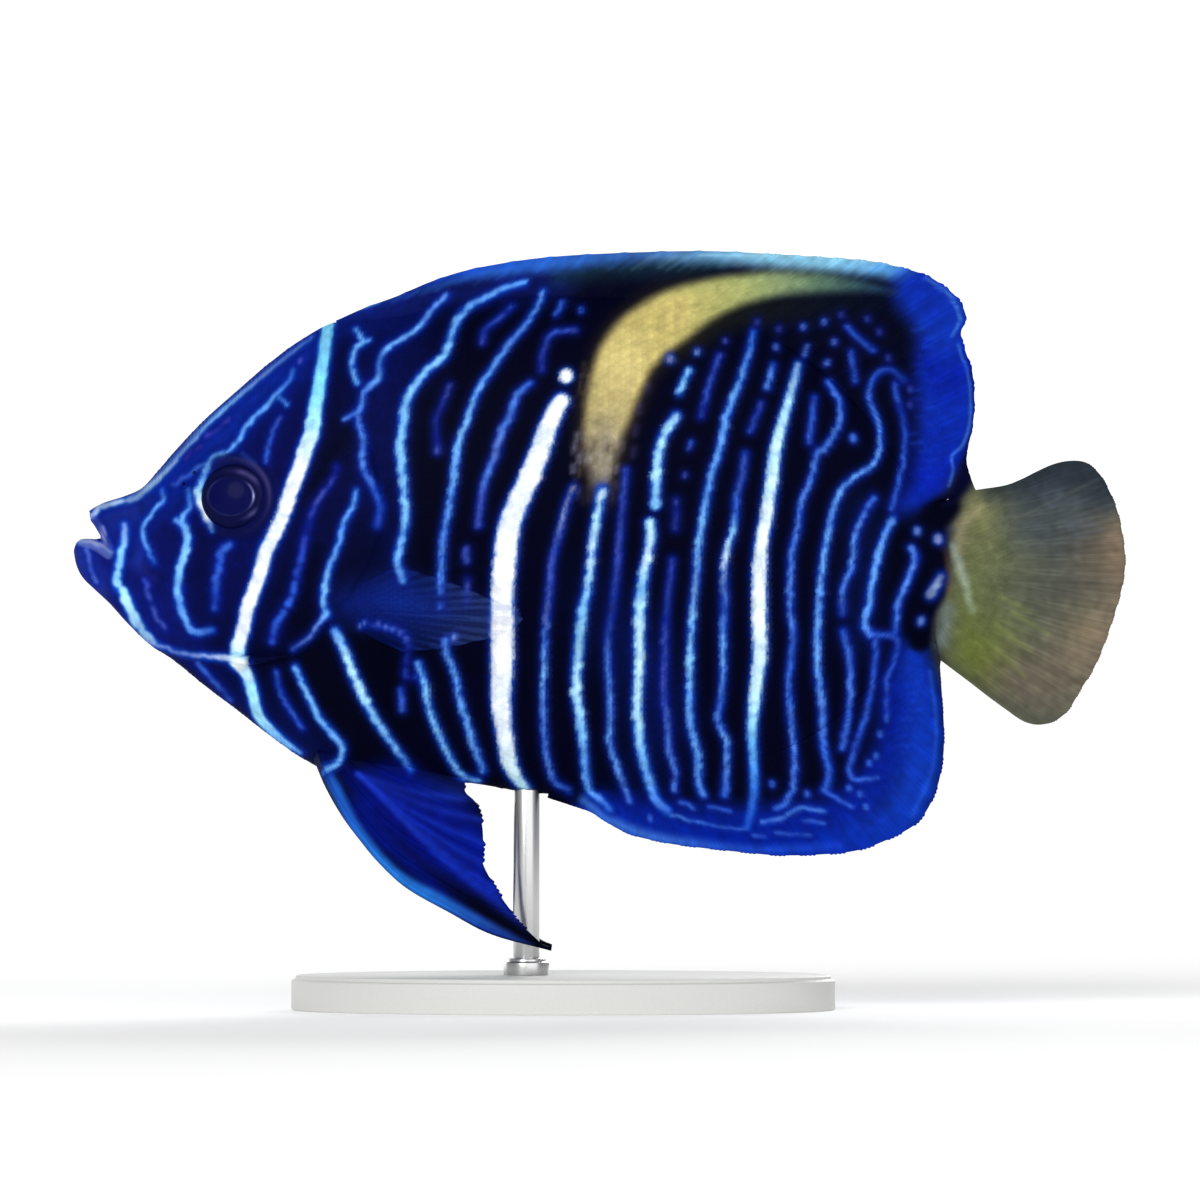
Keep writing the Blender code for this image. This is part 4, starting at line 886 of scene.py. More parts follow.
# The third bar and what lies behind it
THIRD_BAR_MARKS = [
    ([(120, 158, 206), (180, 232, 255), (208, 250, 255), (220, 253, 255), (244, 255, 255),
     (246, 255, 255), (242, 255, 255), (226, 252, 255), (204, 248, 255), (110, 190, 248), (60, 124, 220),
     (30, 76, 196)], [6, 8.5, 11.5, 12, 12.5, 13.5, 14, 13.5, 11.5, 8, 7, 5], [(798, 365), (786, 409),
     (776, 447), (771, 485), (765, 523), (761, 545), (759, 576), (759, 605), (759, 624), (760, 652),
     (756, 685), (753, 715), (752, 736), (754, 773), (753, 801), (747, 826)]),
    (BLUE, 4.5, [(814, 398), (809, 442)]),
    ([BLUE, AZURE, AZURE, AZURE, AZURE, AZURE, BLUE, AZURE, AZURE, BLUE], 5, [(828, 382), (840, 403),
     (838, 426), (824, 449), (817, 452), (812, 475), (801, 503), (798, 526), (791, 559), (790, 610),
     (793, 635), (789, 675), (790, 714), (794, 753), (793, 787), (784, 804), (776, 809)]),
    ([(30, 44, 130), BLUE, AZURE, SKY, SKY, SKY, SKY, SKY, SKY, AZURE, BLUE, BLUE], [3, 4, 4.5, 5.5, 6, 6,
     6, 6, 5.5], [(904, 380), (891, 370), (878, 373), (870, 386), (870, 401), (879, 426), (880, 447),
     (872, 465), (850, 480), (837, 498), (830, 523), (823, 559), (821, 576), (818, 624), (817, 663),
     (822, 708), (823, 742), (829, 773), (825, 790)]),
    (BLUE, 4, [(824, 790), (841, 801), (852, 807)]),
    ([BLUE, AZURE, SKY, AZURE, (50, 70, 140)], 5, [(874, 498), (863, 516), (855, 536), (852, 565),
     (843, 588), (842, 613)]),
    ([BLUE, AZURE, BLUE], 5, [(843, 631), (850, 663), (849, 708), (842, 748)]),
    ([BLUE, (40, 84, 190), BLUE, BLUE], 4, [(895, 384), (897, 398), (904, 424), (904, 454), (898, 485),
     (891, 508)]),
    ([AZURE, SKY, SKY, SKY, AZURE], 6, [(893, 518), (883, 539), (873, 576), (869, 604), (864, 624),
     (870, 634)]),
    (BLUE, 4.5, [(876, 638), (874, 672), (867, 711), (857, 742), (849, 770), (857, 780), (877, 778)]),
    ([AZURE, AZURE, BLUE], [6, 6, 5], [(911, 548), (915, 558), (907, 582), (898, 604), (895, 633)]),
    ([BLUE, (40, 84, 190), BLUE], 4, [(871, 635), (894, 637), (897, 652), (887, 680), (887, 720)]),
]
# Loose spots over the rear of the back
LOOSE_SPOTS = [
    *dots((72, 102, 178), 5, (776, 347), (803, 327), (824, 322), (834, 342), (827, 363)),
    *dots((40, 52, 130), 5, (841, 315), (867, 319), (879, 332), (888, 358), (757, 322), (779, 329),
     (910, 389), (910, 405)),
    ((84, 114, 182), 3.5, [(807, 346), (804, 356)]),
    *dots((60, 104, 204), 7, (853, 438)),
    (BLUE, 4, [(847, 327), (858, 338), (873, 350)]),
    (BLUE, 4, [(851, 352), (855, 381)]),
]
# The tail stalk and the foot of the anal fin
TAIL_STALK_MARKS = [
    *dots((88, 118, 190), 7, (917, 531), (921, 621)),
    *dots((112, 124, 184), 9, (938, 539)),
    ([(104, 118, 158), (128, 144, 180), (110, 128, 166)], [7, 10, 10], [(941, 576), (937, 584),
     (931, 595)]),
    *dots(BLUE, 5, (880, 734), (876, 756), (869, 763), (849, 788), (860, 794), (866, 807), (772, 784),
     (807, 794), (650, 818)),
    (AZURE, 4, [(762, 823), (782, 818), (801, 808), (824, 811)]),
    (BLUE, 3.5, [(776, 833), (810, 835)]),
    (BLUE, 3.5, [(804, 821), (824, 823)]),
    (BLUE, 3.5, [(754, 835), (765, 836)]),
]
PATTERN = (HEAD_MARKS + FIRST_BAR_MARKS + GILL_COVER_MARKS + FRONT_MARKS + SECOND_BAR_MARKS + THIRD_BAR_MARKS
           + LOOSE_SPOTS + TAIL_STALK_MARKS)

GLOW_WIDER, GLOW_SOFTNESS = 6, 7.5
GLOW_FULL_LENGTH = 40
RIM_WIDER, RIM_SOFTNESS = 2.6, 3.8
RIM_STRENGTH, DIM_RIM_STRENGTH, DIM_LIGHT = 0.78, 0.4, 108
LIVELY_FROM, LIVELY_OVER = 90, 110
LIT_LIGHT = 135
# How much a line breaks up, by the highest light of its tone to which each amount holds.
BREAKS_BY_LIGHT = ((108, 0.85), (125, 0.3), (150, 0.16), (256, 0.05))


def lay_stripes():
    """Every mark gets a deep blue glow, then a rim of its own tone, then the line itself."""
    for tone, width, path in PATTERN:
        bright = float(np.mean(tone)) / 255
        long = min(lengths_along(np.array(path, float))[-1] / GLOW_FULL_LENGTH, 1.0)
        strength = (0.62 + 0.36 * bright) * (0.5 + 0.5 * long)
        brush(path, np.array(width, float) + GLOW_WIDER, GLOW, GLOW_SOFTNESS, strength)
    for tone, width, path in PATTERN:
        light = np.mean(tone)
        lively = min(max((light - LIVELY_FROM) / LIVELY_OVER, 0.0), 1.0)
        rim = np.array(DULL_RIM, float) * (1 - lively) + np.array(BRIGHT_RIM, float) * lively
        strength = RIM_STRENGTH if light > DIM_LIGHT else DIM_RIM_STRENGTH
        brush(path, np.array(width, float) + RIM_WIDER, rim, RIM_SOFTNESS, strength)
    for tone, width, path in PATTERN:
        light = np.mean(tone)
        thinner, softness, rough = 1.1, 2.6, 0.12
        if np.max(width) > WIDE_STROKE:
            thinner, softness, rough = 0.9, 1.6, 0.05
        elif light > LIT_LIGHT:
            thinner, softness, rough = 1.1, 2.0, 0.2
        broken = next(amount for limit, amount in BREAKS_BY_LIGHT if light < limit)
        brush(path, np.array(width, float) - thinner, tone, softness, 1.0, rough, broken)


BACK_RIM = [(400, 292), (480, 268), (560, 257), (640, 252), (760, 252), (900, 262), (940, 276)]
RIM_STREAKS = (400, 920, 6)
PALE_RIM_FROM, PALE_RIM_TO = 650, 880
PALE_STREAK, BLUE_STREAK = (160, 204, 226), (60, 124, 212)
# The fine cross lines of the margins: their left, right, top and bottom
CROSS_LINES = ((896, 926, 676, 756), (908, 944, 330, 478))
CROSS_SPACING = 8.7
MARGIN_LINES = [
    (SKY, [4, 3, 2], 2.0, 0.8, [(330, 320), (352, 311), (378, 303)]),
    ((96, 160, 226), [2, 3, 2], 2.0, 0.6, [(925, 278), (950, 296), (960, 318), (952, 336)]),
    ((86, 150, 230), [2, 2, 3, 2], 2.0, 0.6, [(958, 345), (969, 380), (970, 420), (963, 444), (952, 456),
     (953, 470), (949, 486)]),
    ((160, 208, 226), 2.0, 2.0, 0.6, [(700, 255), (800, 256), (900, 264)]),
    ((40, 96, 206), 3.0, 3.0, 0.5, [(930, 672), (936, 720), (932, 770), (912, 816)]),
]


def lay_margin_lines():
    """Slanted streaks, fine cross lines and thin light rims of the fins' margins."""
    for x in range(*RIM_STREAKS):
        top = np.interp(x, *zip(*BACK_RIM)) + 4
        tone = PALE_STREAK if PALE_RIM_FROM < x < PALE_RIM_TO else BLUE_STREAK
        deep = chance.uniform(8, 22)
        path = ((x, top), (x - deep, top + 0.7 * deep))
        brush(path, [2.5, 1.0], tone, 2.2, float(chance.uniform(0.1, 0.4)))
    for left, right, top, bottom in CROSS_LINES:
        for y in np.arange(top, bottom, CROSS_SPACING):
            x = chance.uniform(left, right - 10)
            path = ((x, y), (x + chance.uniform(6, 12), y - 1))
            brush(path, 3.0, (26, 72, 198), 2.6, float(chance.uniform(0.1, 0.4)))
    lay_washes(MARGIN_LINES)


GRAIN_SIZE, GRAIN_STRENGTH = 4, 0.07


def lay_grain():
    """Fine soft grain over the whole sheet."""
    count = PHOTO_SIZE // GRAIN_SIZE + 2
    grain = chance.normal(0.0, 1.0, (count, count))
    fine = np.kron(grain, np.ones((GRAIN_SIZE, GRAIN_SIZE)))[:PHOTO_SIZE, :PHOTO_SIZE]
    for axis in (0, 1):
        fine = (np.roll(fine, 1, axis) + fine + np.roll(fine, -1, axis)) / 3
        fine = (np.roll(fine, 2, axis) + fine + np.roll(fine, -2, axis)) / 3
    sheet[:] = np.clip(sheet * (1 + GRAIN_STRENGTH * fine[..., None]), 0, 255)


def linear(tone):
    """Screen values 0 to 255 as light values 0 to 1."""
    tone = np.asarray(tone, float) / 255
    return np.where(tone <= 0.04045, tone / 12.92, ((tone + 0.055) / 1.055) ** 2.4)


def paint_sheet():
    lay_ground()
    lay_yellow()
    lay_tail()
    lay_pelvic()
    lay_stripes()
    lay_margin_lines()
    lay_grain()


def read_sheet(x, y):
    """Bilinear colours of the sheet at pixel places."""
    x, y = np.clip(x, 0, PHOTO_SIZE - 2), np.clip(y, 0, PHOTO_SIZE - 2)
    i, j = x.astype(int), y.astype(int)
    s, t = (x - i)[..., None], (y - j)[..., None]
    upper = sheet[j, i] * (1 - s) + sheet[j, i + 1] * s
    lower = sheet[j + 1, i] * (1 - s) + sheet[j + 1, i + 1] * s
    return upper * (1 - t) + lower * t


# On the narrow top of the forehead the strokes of the side view are averaged along the profile.
FOREHEAD_SLOPE = (0.77, -0.64)
FOREHEAD_REACH = (-20, -12, -5, 5, 12, 20)
FOREHEAD_HALF, FOREHEAD_START, FOREHEAD_END, FOREHEAD_LOW = (1.3, 2.6), (5.0, 8.0), (23.5, 26.5), (5.0, 7.0)


def sheet_tone(places):
    """The sheet's colour at world places in millimetres, as the camera's side sees them, on both flanks."""
    nearer = CAMERA_AWAY / (CAMERA_AWAY - np.abs(places[..., 1]))
    x = PHOTO_MIDDLE + places[..., 0] * nearer / PIXEL
    y = PHOTO_MIDDLE + (CAMERA_HEIGHT - places[..., 2]) * nearer / PIXEL
    tones = read_sheet(x, y)
    back, up = places[..., 0] + TOTAL_LENGTH / 2, places[..., 2] - AXIS_HEIGHT
    over = (1 - ramp(np.abs(places[..., 1]), *FOREHEAD_HALF)) * ramp(back, *FOREHEAD_START)
    over = over * (1 - ramp(back, *FOREHEAD_END)) * ramp(up, *FOREHEAD_LOW)
    top = over > 0
    if top.any():
        even = np.mean([read_sheet(x[top] + d * FOREHEAD_SLOPE[0], y[top] + d * FOREHEAD_SLOPE[1])
                        for d in FOREHEAD_REACH], axis=0)
        tones[top] = blend(tones[top], even, over[top])
    return tones


def blend(tones, tone, amount):
    """Tones with an amount of another tone laid over them."""
    amount = amount[:, None]
    return tones * (1 - amount) + np.array(tone) * amount


def colour_piece(obj, tones):
    """Stores screen colours of the points as the attribute that the finishes read."""
    layer = obj.data.color_attributes.new("paint", "FLOAT_COLOR", "POINT")
    values = np.ones((len(obj.data.vertices), 4), np.float32)
    values[:, :3] = linear(np.clip(tones, 0, 255))
    layer.data.foreach_set("color", values.ravel())


# Finishes

def finish(name, roughness, specular=0.3, coat=0.0, coat_roughness=0.2, alpha=1.0):
    """A material that takes its colour from the painted attribute. Returns it with its shader."""
    made = bpy.data.materials.new(name)
    made.use_nodes = True
    nodes, links = made.node_tree.nodes, made.node_tree.links
    shader = nodes["Principled BSDF"]
    paint = nodes.new("ShaderNodeAttribute")
    paint.attribute_name = "paint"
    links.new(paint.outputs["Color"], shader.inputs["Base Color"])
    shader.inputs["Roughness"].default_value = roughness
    shader.inputs["Specular IOR Level"].default_value = specular
    shader.inputs["Coat Weight"].default_value = coat
    shader.inputs["Coat Roughness"].default_value = coat_roughness
    shader.inputs["Alpha"].default_value = alpha
    return made, shader


GRAIN_DETAIL, GLOSS_SWING = 4.0, 0.08
SKIN_ROUGHNESS, SKIN_SPECULAR = 0.5, 0.012


def add_grain(made, shader, scale, strength, distance, stretch=(1, 1, 1)):
    """A fine bump from noise on the object's own places, and a little unevenness in the gloss."""
    nodes, links = made.node_tree.nodes, made.node_tree.links
    place = nodes.new("ShaderNodeTexCoord")
    turn = nodes.new("ShaderNodeMapping")
    turn.inputs["Scale"].default_value = stretch
    noise = nodes.new("ShaderNodeTexNoise")
    noise.inputs["Scale"].default_value = scale
    noise.inputs["Detail"].default_value = GRAIN_DETAIL
    bump = nodes.new("ShaderNodeBump")
    bump.inputs["Strength"].default_value = strength
    bump.inputs["Distance"].default_value = distance
    links.new(place.outputs["Object"], turn.inputs["Vector"])
    links.new(turn.outputs["Vector"], noise.inputs["Vector"])
    links.new(noise.outputs["Fac"], bump.inputs["Height"])
    links.new(bump.outputs["Normal"], shader.inputs["Normal"])
    gloss = nodes.new("ShaderNodeMapRange")
    base = shader.inputs["Roughness"].default_value
    gloss.inputs["To Min"].default_value = base - GLOSS_SWING
    gloss.inputs["To Max"].default_value = base + GLOSS_SWING
    links.new(noise.outputs["Fac"], gloss.inputs["Value"])
    links.new(gloss.outputs["Result"], shader.inputs["Roughness"])


def skin_finish():
    made, shader = finish("angelfish_skin", SKIN_ROUGHNESS, SKIN_SPECULAR)
    add_grain(made, shader, 2600.0, 0.25, 0.00006)
    return made


def scale_finish():
    made, shader = finish("angelfish_scales", SKIN_ROUGHNESS, SKIN_SPECULAR)
    add_grain(made, shader, 3000.0, 0.12, 0.00003)
    return made


def fin_finish(name, alpha=1.0):
    made, shader = finish(name, SKIN_ROUGHNESS, SKIN_SPECULAR, alpha=alpha)
    add_grain(made, shader, 1800.0, 0.15, 0.00005)
    return made


def eye_finish():
    made, _ = finish("angelfish_eye", 0.4, 0.02, coat=0.02, coat_roughness=0.12)
    return made


def stand_finish(name, colour, roughness, metallic, scale, bump_strength, stretch=(1, 1, 1)):
    made = bpy.data.materials.new(name)
    made.use_nodes = True
    shader = made.node_tree.nodes["Principled BSDF"]
    nodes, links = made.node_tree.nodes, made.node_tree.links
    shader.inputs["Roughness"].default_value = roughness
    shader.inputs["Metallic"].default_value = metallic
    add_grain(made, shader, scale, bump_strength, 0.00004, stretch=stretch)
    noise = next(n for n in nodes if n.type == "TEX_NOISE")
    shade = nodes.new("ShaderNodeMix")
    shade.data_type = "RGBA"
    shade.inputs["A"].default_value = (*[c * 0.94 for c in colour], 1.0)
    shade.inputs["B"].default_value = (*[min(c * 1.06, 1.0) for c in colour], 1.0)
    links.new(noise.outputs["Fac"], shade.inputs["Factor"])
    links.new(shade.outputs["Result"], shader.inputs["Base Color"])
    return made


# The skin

def ring_places():
    """Where the skin's rings stand, closest together at the mouth."""
    at, places = FIRST_RING, []
    spots, spacings = zip(*RING_SPACING)
    while at < BODY_END:
        places.append(at)
        at += np.interp(at, spots, spacings)
    return np.array(places + [BODY_END])


def relief(places):
    """How far the skin stands out, by its place in the side view."""
    ahead, weight = from_line(places, GILL_LINE, GILL_WEIGHT)
    cover = GILL_STEP * np.exp(-np.maximum(ahead, 0) / GILL_SLOPE) * ramp(ahead, -GILL_LIP, GILL_LIP)
    behind = -GILL_GROOVE * np.exp(np.minimum(ahead, 0) / GILL_GROOVE_REACH)
    behind = behind * (1 - ramp(ahead, -GILL_LIP, GILL_LIP))
    height = (cover + behind) * weight
    ahead, weight = from_line(places, CHEEK_EDGE[::-1], CHEEK_WEIGHT[::-1])
    ahead = -ahead
    step = CHEEK_STEP * np.exp(-np.maximum(ahead, 0) / CHEEK_SLOPE) * ramp(ahead, -CHEEK_LIP, CHEEK_LIP)
    groove = CHEEK_GROOVE * np.exp(-((ahead + CHEEK_GROOVE_AT) / CHEEK_GROOVE_REACH) ** 2)
    height += (step - groove) * weight
    away, weight = from_line(places, JAW_LINE, JAW_WEIGHT)
    height -= JAW_DEPTH * weight * np.exp(-((away / JAW_WIDTH) ** 2))
    from_eye = np.hypot(places[..., 0] - EYE_PLACE[0], places[..., 1] - EYE_PLACE[1])
    height += EYE_RIM_HEIGHT * np.exp(-(((from_eye - EYE_RIM_AT) / EYE_RIM_WIDTH) ** 2))
    for back, up in NOSTRILS:
        away = np.hypot(places[..., 0] - back, places[..., 1] - up)
        height -= NOSTRIL_PIT * np.exp(-((away / (NOSTRIL_RADIUS * NOSTRIL_PIT_SHARE)) ** 2))
    return height


def body_grid():
    """Points and outward directions of the skin before its openings are cut, ring by ring."""
    backs = ring_places()
    angles = -math.pi / 2 + 2 * math.pi * np.arange(RING_POINTS) / RING_POINTS
    back, angle = np.meshgrid(backs, angles, indexing="ij")
    share = np.sin(angle)
    side = np.where(np.cos(angle) >= 0, 1.0, -1.0) * section_half(back, share)
    points = np.stack([back, side, section_up(back, share)], axis=-1)
    around = np.roll(points, -1, axis=1) - np.roll(points, 1, axis=1)
    along = np.gradient(points, axis=0)
    outward = np.cross(along, around)
    outward /= np.maximum(np.linalg.norm(outward, axis=2, keepdims=True), 1e-9)
    if (outward[..., 1] * points[..., 1]).sum() < 0:
        outward = -outward
    height = relief(points[..., (0, 2)]) - COAT_DEPTH * ramp(points[..., 0], 0.0, SNOUT_BARE)
    points = points + outward * height[..., None]
    return points, outward


def build_skin(grid, material):
    points = world(grid)
    rings = len(points)
    index = np.arange(rings * RING_POINTS).reshape(rings, RING_POINTS)
    after = np.roll(index, -1, axis=1)
    walls = np.stack([index[:-1], index[1:], after[1:], after[:-1]], axis=-1).reshape(-1, 4)
    flat = points.reshape(-1, 3)
    tip, end = len(flat), len(flat) + 1
    flat = np.concatenate([flat, world([(0.0, 0.0, BACK_LINE[0][1])]), [points[-1].mean(axis=0)]])
    nose = np.stack([np.full(RING_POINTS, tip), index[0], after[0]], axis=-1)
    close = np.stack([np.full(RING_POINTS, end), after[-1], index[-1]], axis=-1)
    skin = new_piece("skin", mesh_of("skin", flat, walls, nose, close), material)
    turn_outwards(skin)

    mouth = drawn_curve(UPPER_EDGE, 4).tolist() + MOUTH_AHEAD + drawn_curve(LOWER_EDGE, 4).tolist()
    apply_boolean(skin, "DIFFERENCE", prism("mouth", mouth))
    for path, radii in ((UPPER_LIP, UPPER_LIP_RADII), (LOWER_LIP, LOWER_LIP_RADII)):
        points = mirrored(path)
        apply_boolean(skin, "UNION", tube("lip", points, list(radii) + list(radii[-2::-1])))
    for side in (-1, 1):
        apply_boolean(skin, "DIFFERENCE", eyeball("socket", side, SOCKET_GAP))
        for spot in NOSTRILS:
            apply_boolean(skin, "UNION", nostril_rim(spot, side))
        spine = [(back, side * (flank(back, up) + out), up) for back, up, out in CHEEK_SPINE]
        apply_boolean(skin, "UNION", tube("cheek_spine", spine, CHEEK_SPINE_RADII))
    soften_lips(skin)
    colour_piece(skin, skin_tones(places_of(skin.data)))
    skin.data.shade_smooth()
    skin.data.set_sharp_from_angle(angle=math.radians(SKIN_SHARP))
    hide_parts(*FLESH)
    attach(skin, "root")
    return skin


def nostril_rim(spot, side):
    normal = flank_normal(*spot, side)
    at = world((spot[0], side * flank(*spot), spot[1])) * MM - np.array(normal) * NOSTRIL_SUNK * MM
    clear_selection()
    bpy.ops.mesh.primitive_torus_add(
        major_radius=NOSTRIL_RADIUS * MM, minor_radius=NOSTRIL_RIM * MM, major_segments=24,
        minor_segments=10, location=at, rotation=normal.to_track_quat("Z", "Y").to_euler(),
    )
    return settle("nostril_rim")


def soften_lips(skin):
    """Blends the lips into the face."""
    shape = bmesh.new()
    shape.from_mesh(skin.data)
    bmesh.ops.triangulate(shape, faces=[f for f in shape.faces if len(f.verts) > 4])
    near = [v for v in shape.verts if v.co.x / MM + TOTAL_LENGTH / 2 < LIP_BLEND_END]
    chains = np.concatenate([world(drawn_curve(mirrored(path), 8)) for path in (UPPER_LIP, LOWER_LIP)])
    chosen = [v for v in near if np.linalg.norm(chains - np.array(v.co) / MM, axis=1).min() < LIP_BLEND_REACH]
    for _ in range(LIP_BLEND_TURNS):
        bmesh.ops.smooth_vert(
            shape, verts=chosen, factor=0.5, use_axis_x=True, use_axis_y=True, use_axis_z=True
        )
    shape.to_mesh(skin.data)
    shape.free()


LIP_TONES = ((UPPER_LIP, (86, 92, 168), 0.4), (LOWER_LIP, (132, 144, 196), 0.5))
LIP_TONE_REACH, LIP_TONE_END = (0.35, 0.7), 6
# Painted shade in the nostril pits: its strength and reach
NOSTRIL_SHADE, NOSTRIL_SHADE_REACH = 0.3, (0.1, 0.34)
# Painted shade round the eye's socket, left out ahead of the eye
SOCKET_SHADE, SOCKET_SHADE_AT, SOCKET_SHADE_WIDTH, SOCKET_SHADE_GAP = 0.75, 4.2, 0.85, 1.1
SOCKET_SHADE_TONE = (8, 12, 58)
# A painted lavender highlight on the raised rim round the eye
EYE_RIM_HIGHLIGHT_TONE, EYE_RIM_HIGHLIGHT_STRENGTH = (84, 76, 130), 0.6
EYE_RIM_HIGHLIGHT_AT, EYE_RIM_HIGHLIGHT_WIDTH, EYE_RIM_HIGHLIGHT_TURN, EYE_RIM_HIGHLIGHT_SPREAD = 4.25, 0.3, 0.55, 0.95


def skin_tones(places):
    """The sheet's colours with what only the shape knows: lips, painted shade in the nostrils and round the
    eye's socket, and a painted highlight on the rim of the eye.
    """
    tones = sheet_tone(places)
    back = places[:, 0] + TOTAL_LENGTH / 2
    up = places[:, 2] - AXIS_HEIGHT
    for path, tone, firm in LIP_TONES:
        chain = world(drawn_curve(mirrored(path), 6))
        near = back < LIP_TONE_END
        away = np.full(len(places), 9.0)
        away[near] = np.linalg.norm(places[near][:, None] - chain[None], axis=2).min(axis=1)
        tones = blend(tones, tone, firm * (1 - ramp(away, *LIP_TONE_REACH)))
    # Painted shade: the skin darkens into each nostril pit
    for spot in NOSTRILS:
        away = np.hypot(back - spot[0], up - spot[1])
        dark = (1 - ramp(away, *NOSTRIL_SHADE_REACH))[:, None]
        tones = tones * (1 - NOSTRIL_SHADE * dark)
    from_eye = np.hypot(back - EYE_PLACE[0], up - EYE_PLACE[1])
    angle = np.arctan2(up - EYE_PLACE[1], back - EYE_PLACE[0])
    # Painted highlight on the raised rim round the eye, strongest on its upper rear side
    upper = 0.08 + 0.92 * np.exp(-(((angle - EYE_RIM_HIGHLIGHT_TURN) / EYE_RIM_HIGHLIGHT_SPREAD) ** 2))
    rim_highlight = np.exp(-(((from_eye - EYE_RIM_HIGHLIGHT_AT) / EYE_RIM_HIGHLIGHT_WIDTH) ** 2)) * upper
    # Painted shade in a ring round the eye's socket, except ahead of it
    ahead = np.abs(np.angle(np.exp(1j * (angle - math.pi))))
    behind = 1 - np.exp(-((ahead / SOCKET_SHADE_GAP) ** 4))
    dark = SOCKET_SHADE * np.exp(-(((from_eye - SOCKET_SHADE_AT) / SOCKET_SHADE_WIDTH) ** 2)) * behind
    return blend(blend(tones, SOCKET_SHADE_TONE, dark), EYE_RIM_HIGHLIGHT_TONE, EYE_RIM_HIGHLIGHT_STRENGTH * rim_highlight)


# The scales

VANE_ALONG = np.array([0.0, 0.34, 0.66, 0.88, 1.0])
VANE_WIDE = np.array([0.62, 0.98, 1.0, 0.78, 0.36])
VANE_ACROSS = np.array([-0.5, -0.18, 0.18, 0.5])
VANE_RISE = np.array([-0.07, -0.01, 0.05, 0.085, 0.09])
VANE_CROWN = 0.035
VANE_PIT = -0.16
VANE_LENGTH, VANE_WIDTH, VANE_ROUND = 1.65, 1.12, -0.12
# Painted shade across each scale: a little darker at its two sides
VANE_SIDES_SHADE = (0.985, 1.0, 1.0, 0.985)
VANE_LIFT, VANE_FULL_PITCH = 0.7, 0.75
MOST_VANES = 5200
ROW_SPACING = 0.8
SEED_STRAY, TURN_STRAY, SIZE_STRAY, LIGHT_STRAY = 0.05, 0.06, 0.04, 0.015
# Share of one tone that a scale takes from its own middle
OWN_TONE = 0.07


def vane_faces():
    """Upper faces of one scale, and its underside from the same rim to a last point inside the skin."""
    rows, columns = len(VANE_ALONG), len(VANE_ACROSS)
    index = np.arange(rows * columns).reshape(rows, columns)
    rim = np.concatenate([index[0], index[1:, -1], index[-1, -2::-1], index[-2:0:-1, 0]])
    under = np.column_stack([np.full(len(rim), rows * columns), np.roll(rim, -1), rim])
    return quads(rows, columns), under


def read_grid(values, i, k):
    """Bilinear value of a grid at fractional indices."""
    i = np.clip(i, 0, values.shape[0] - 1.001)
    k = np.clip(k, 0, values.shape[1] - 1.001)
    a, b = i.astype(int), k.astype(int)
    s, t = (i - a)[..., None], (k - b)[..., None]
    near = values[a, b] * (1 - s) + values[a + 1, b] * s
    far = values[a, b + 1] * (1 - s) + values[a + 1, b + 1] * s
    return near * (1 - t) + far * t


def sow_scales(points, pitch_at):
    """Staggered scales as two fractional grid places, pitch and arc. The first index runs along their lie."""
    middle = points.shape[1] // 2
    along = lengths_along(points[:, middle])
    rows, at = [], 0.0
    while at < along[-1]:
        i = float(np.interp(at, along, np.arange(len(along))))
        pitch = float(pitch_at(points[int(round(i)), middle]))
        rows.append((i, pitch))
        at += pitch * ROW_SPACING
    places = []
    for number, (i, pitch) in enumerate(rows):
        whole = min(int(i), points.shape[0] - 2)
        line = points[whole] * (1 - (i - whole)) + points[whole + 1] * (i - whole)
        across = lengths_along(line)
        first = across[middle] % pitch + pitch * 0.5 * (number % 2)
        steps = np.arange(first, across[-1], pitch)
        steps = steps + chance.normal(0, SEED_STRAY * pitch, len(steps))
        k = np.interp(steps, across, np.arange(len(across)))
        arc = steps - across[middle]
        places.append(np.column_stack([np.full(len(k), i), k, np.full(len(k), pitch), arc]))
    return np.concatenate(places)


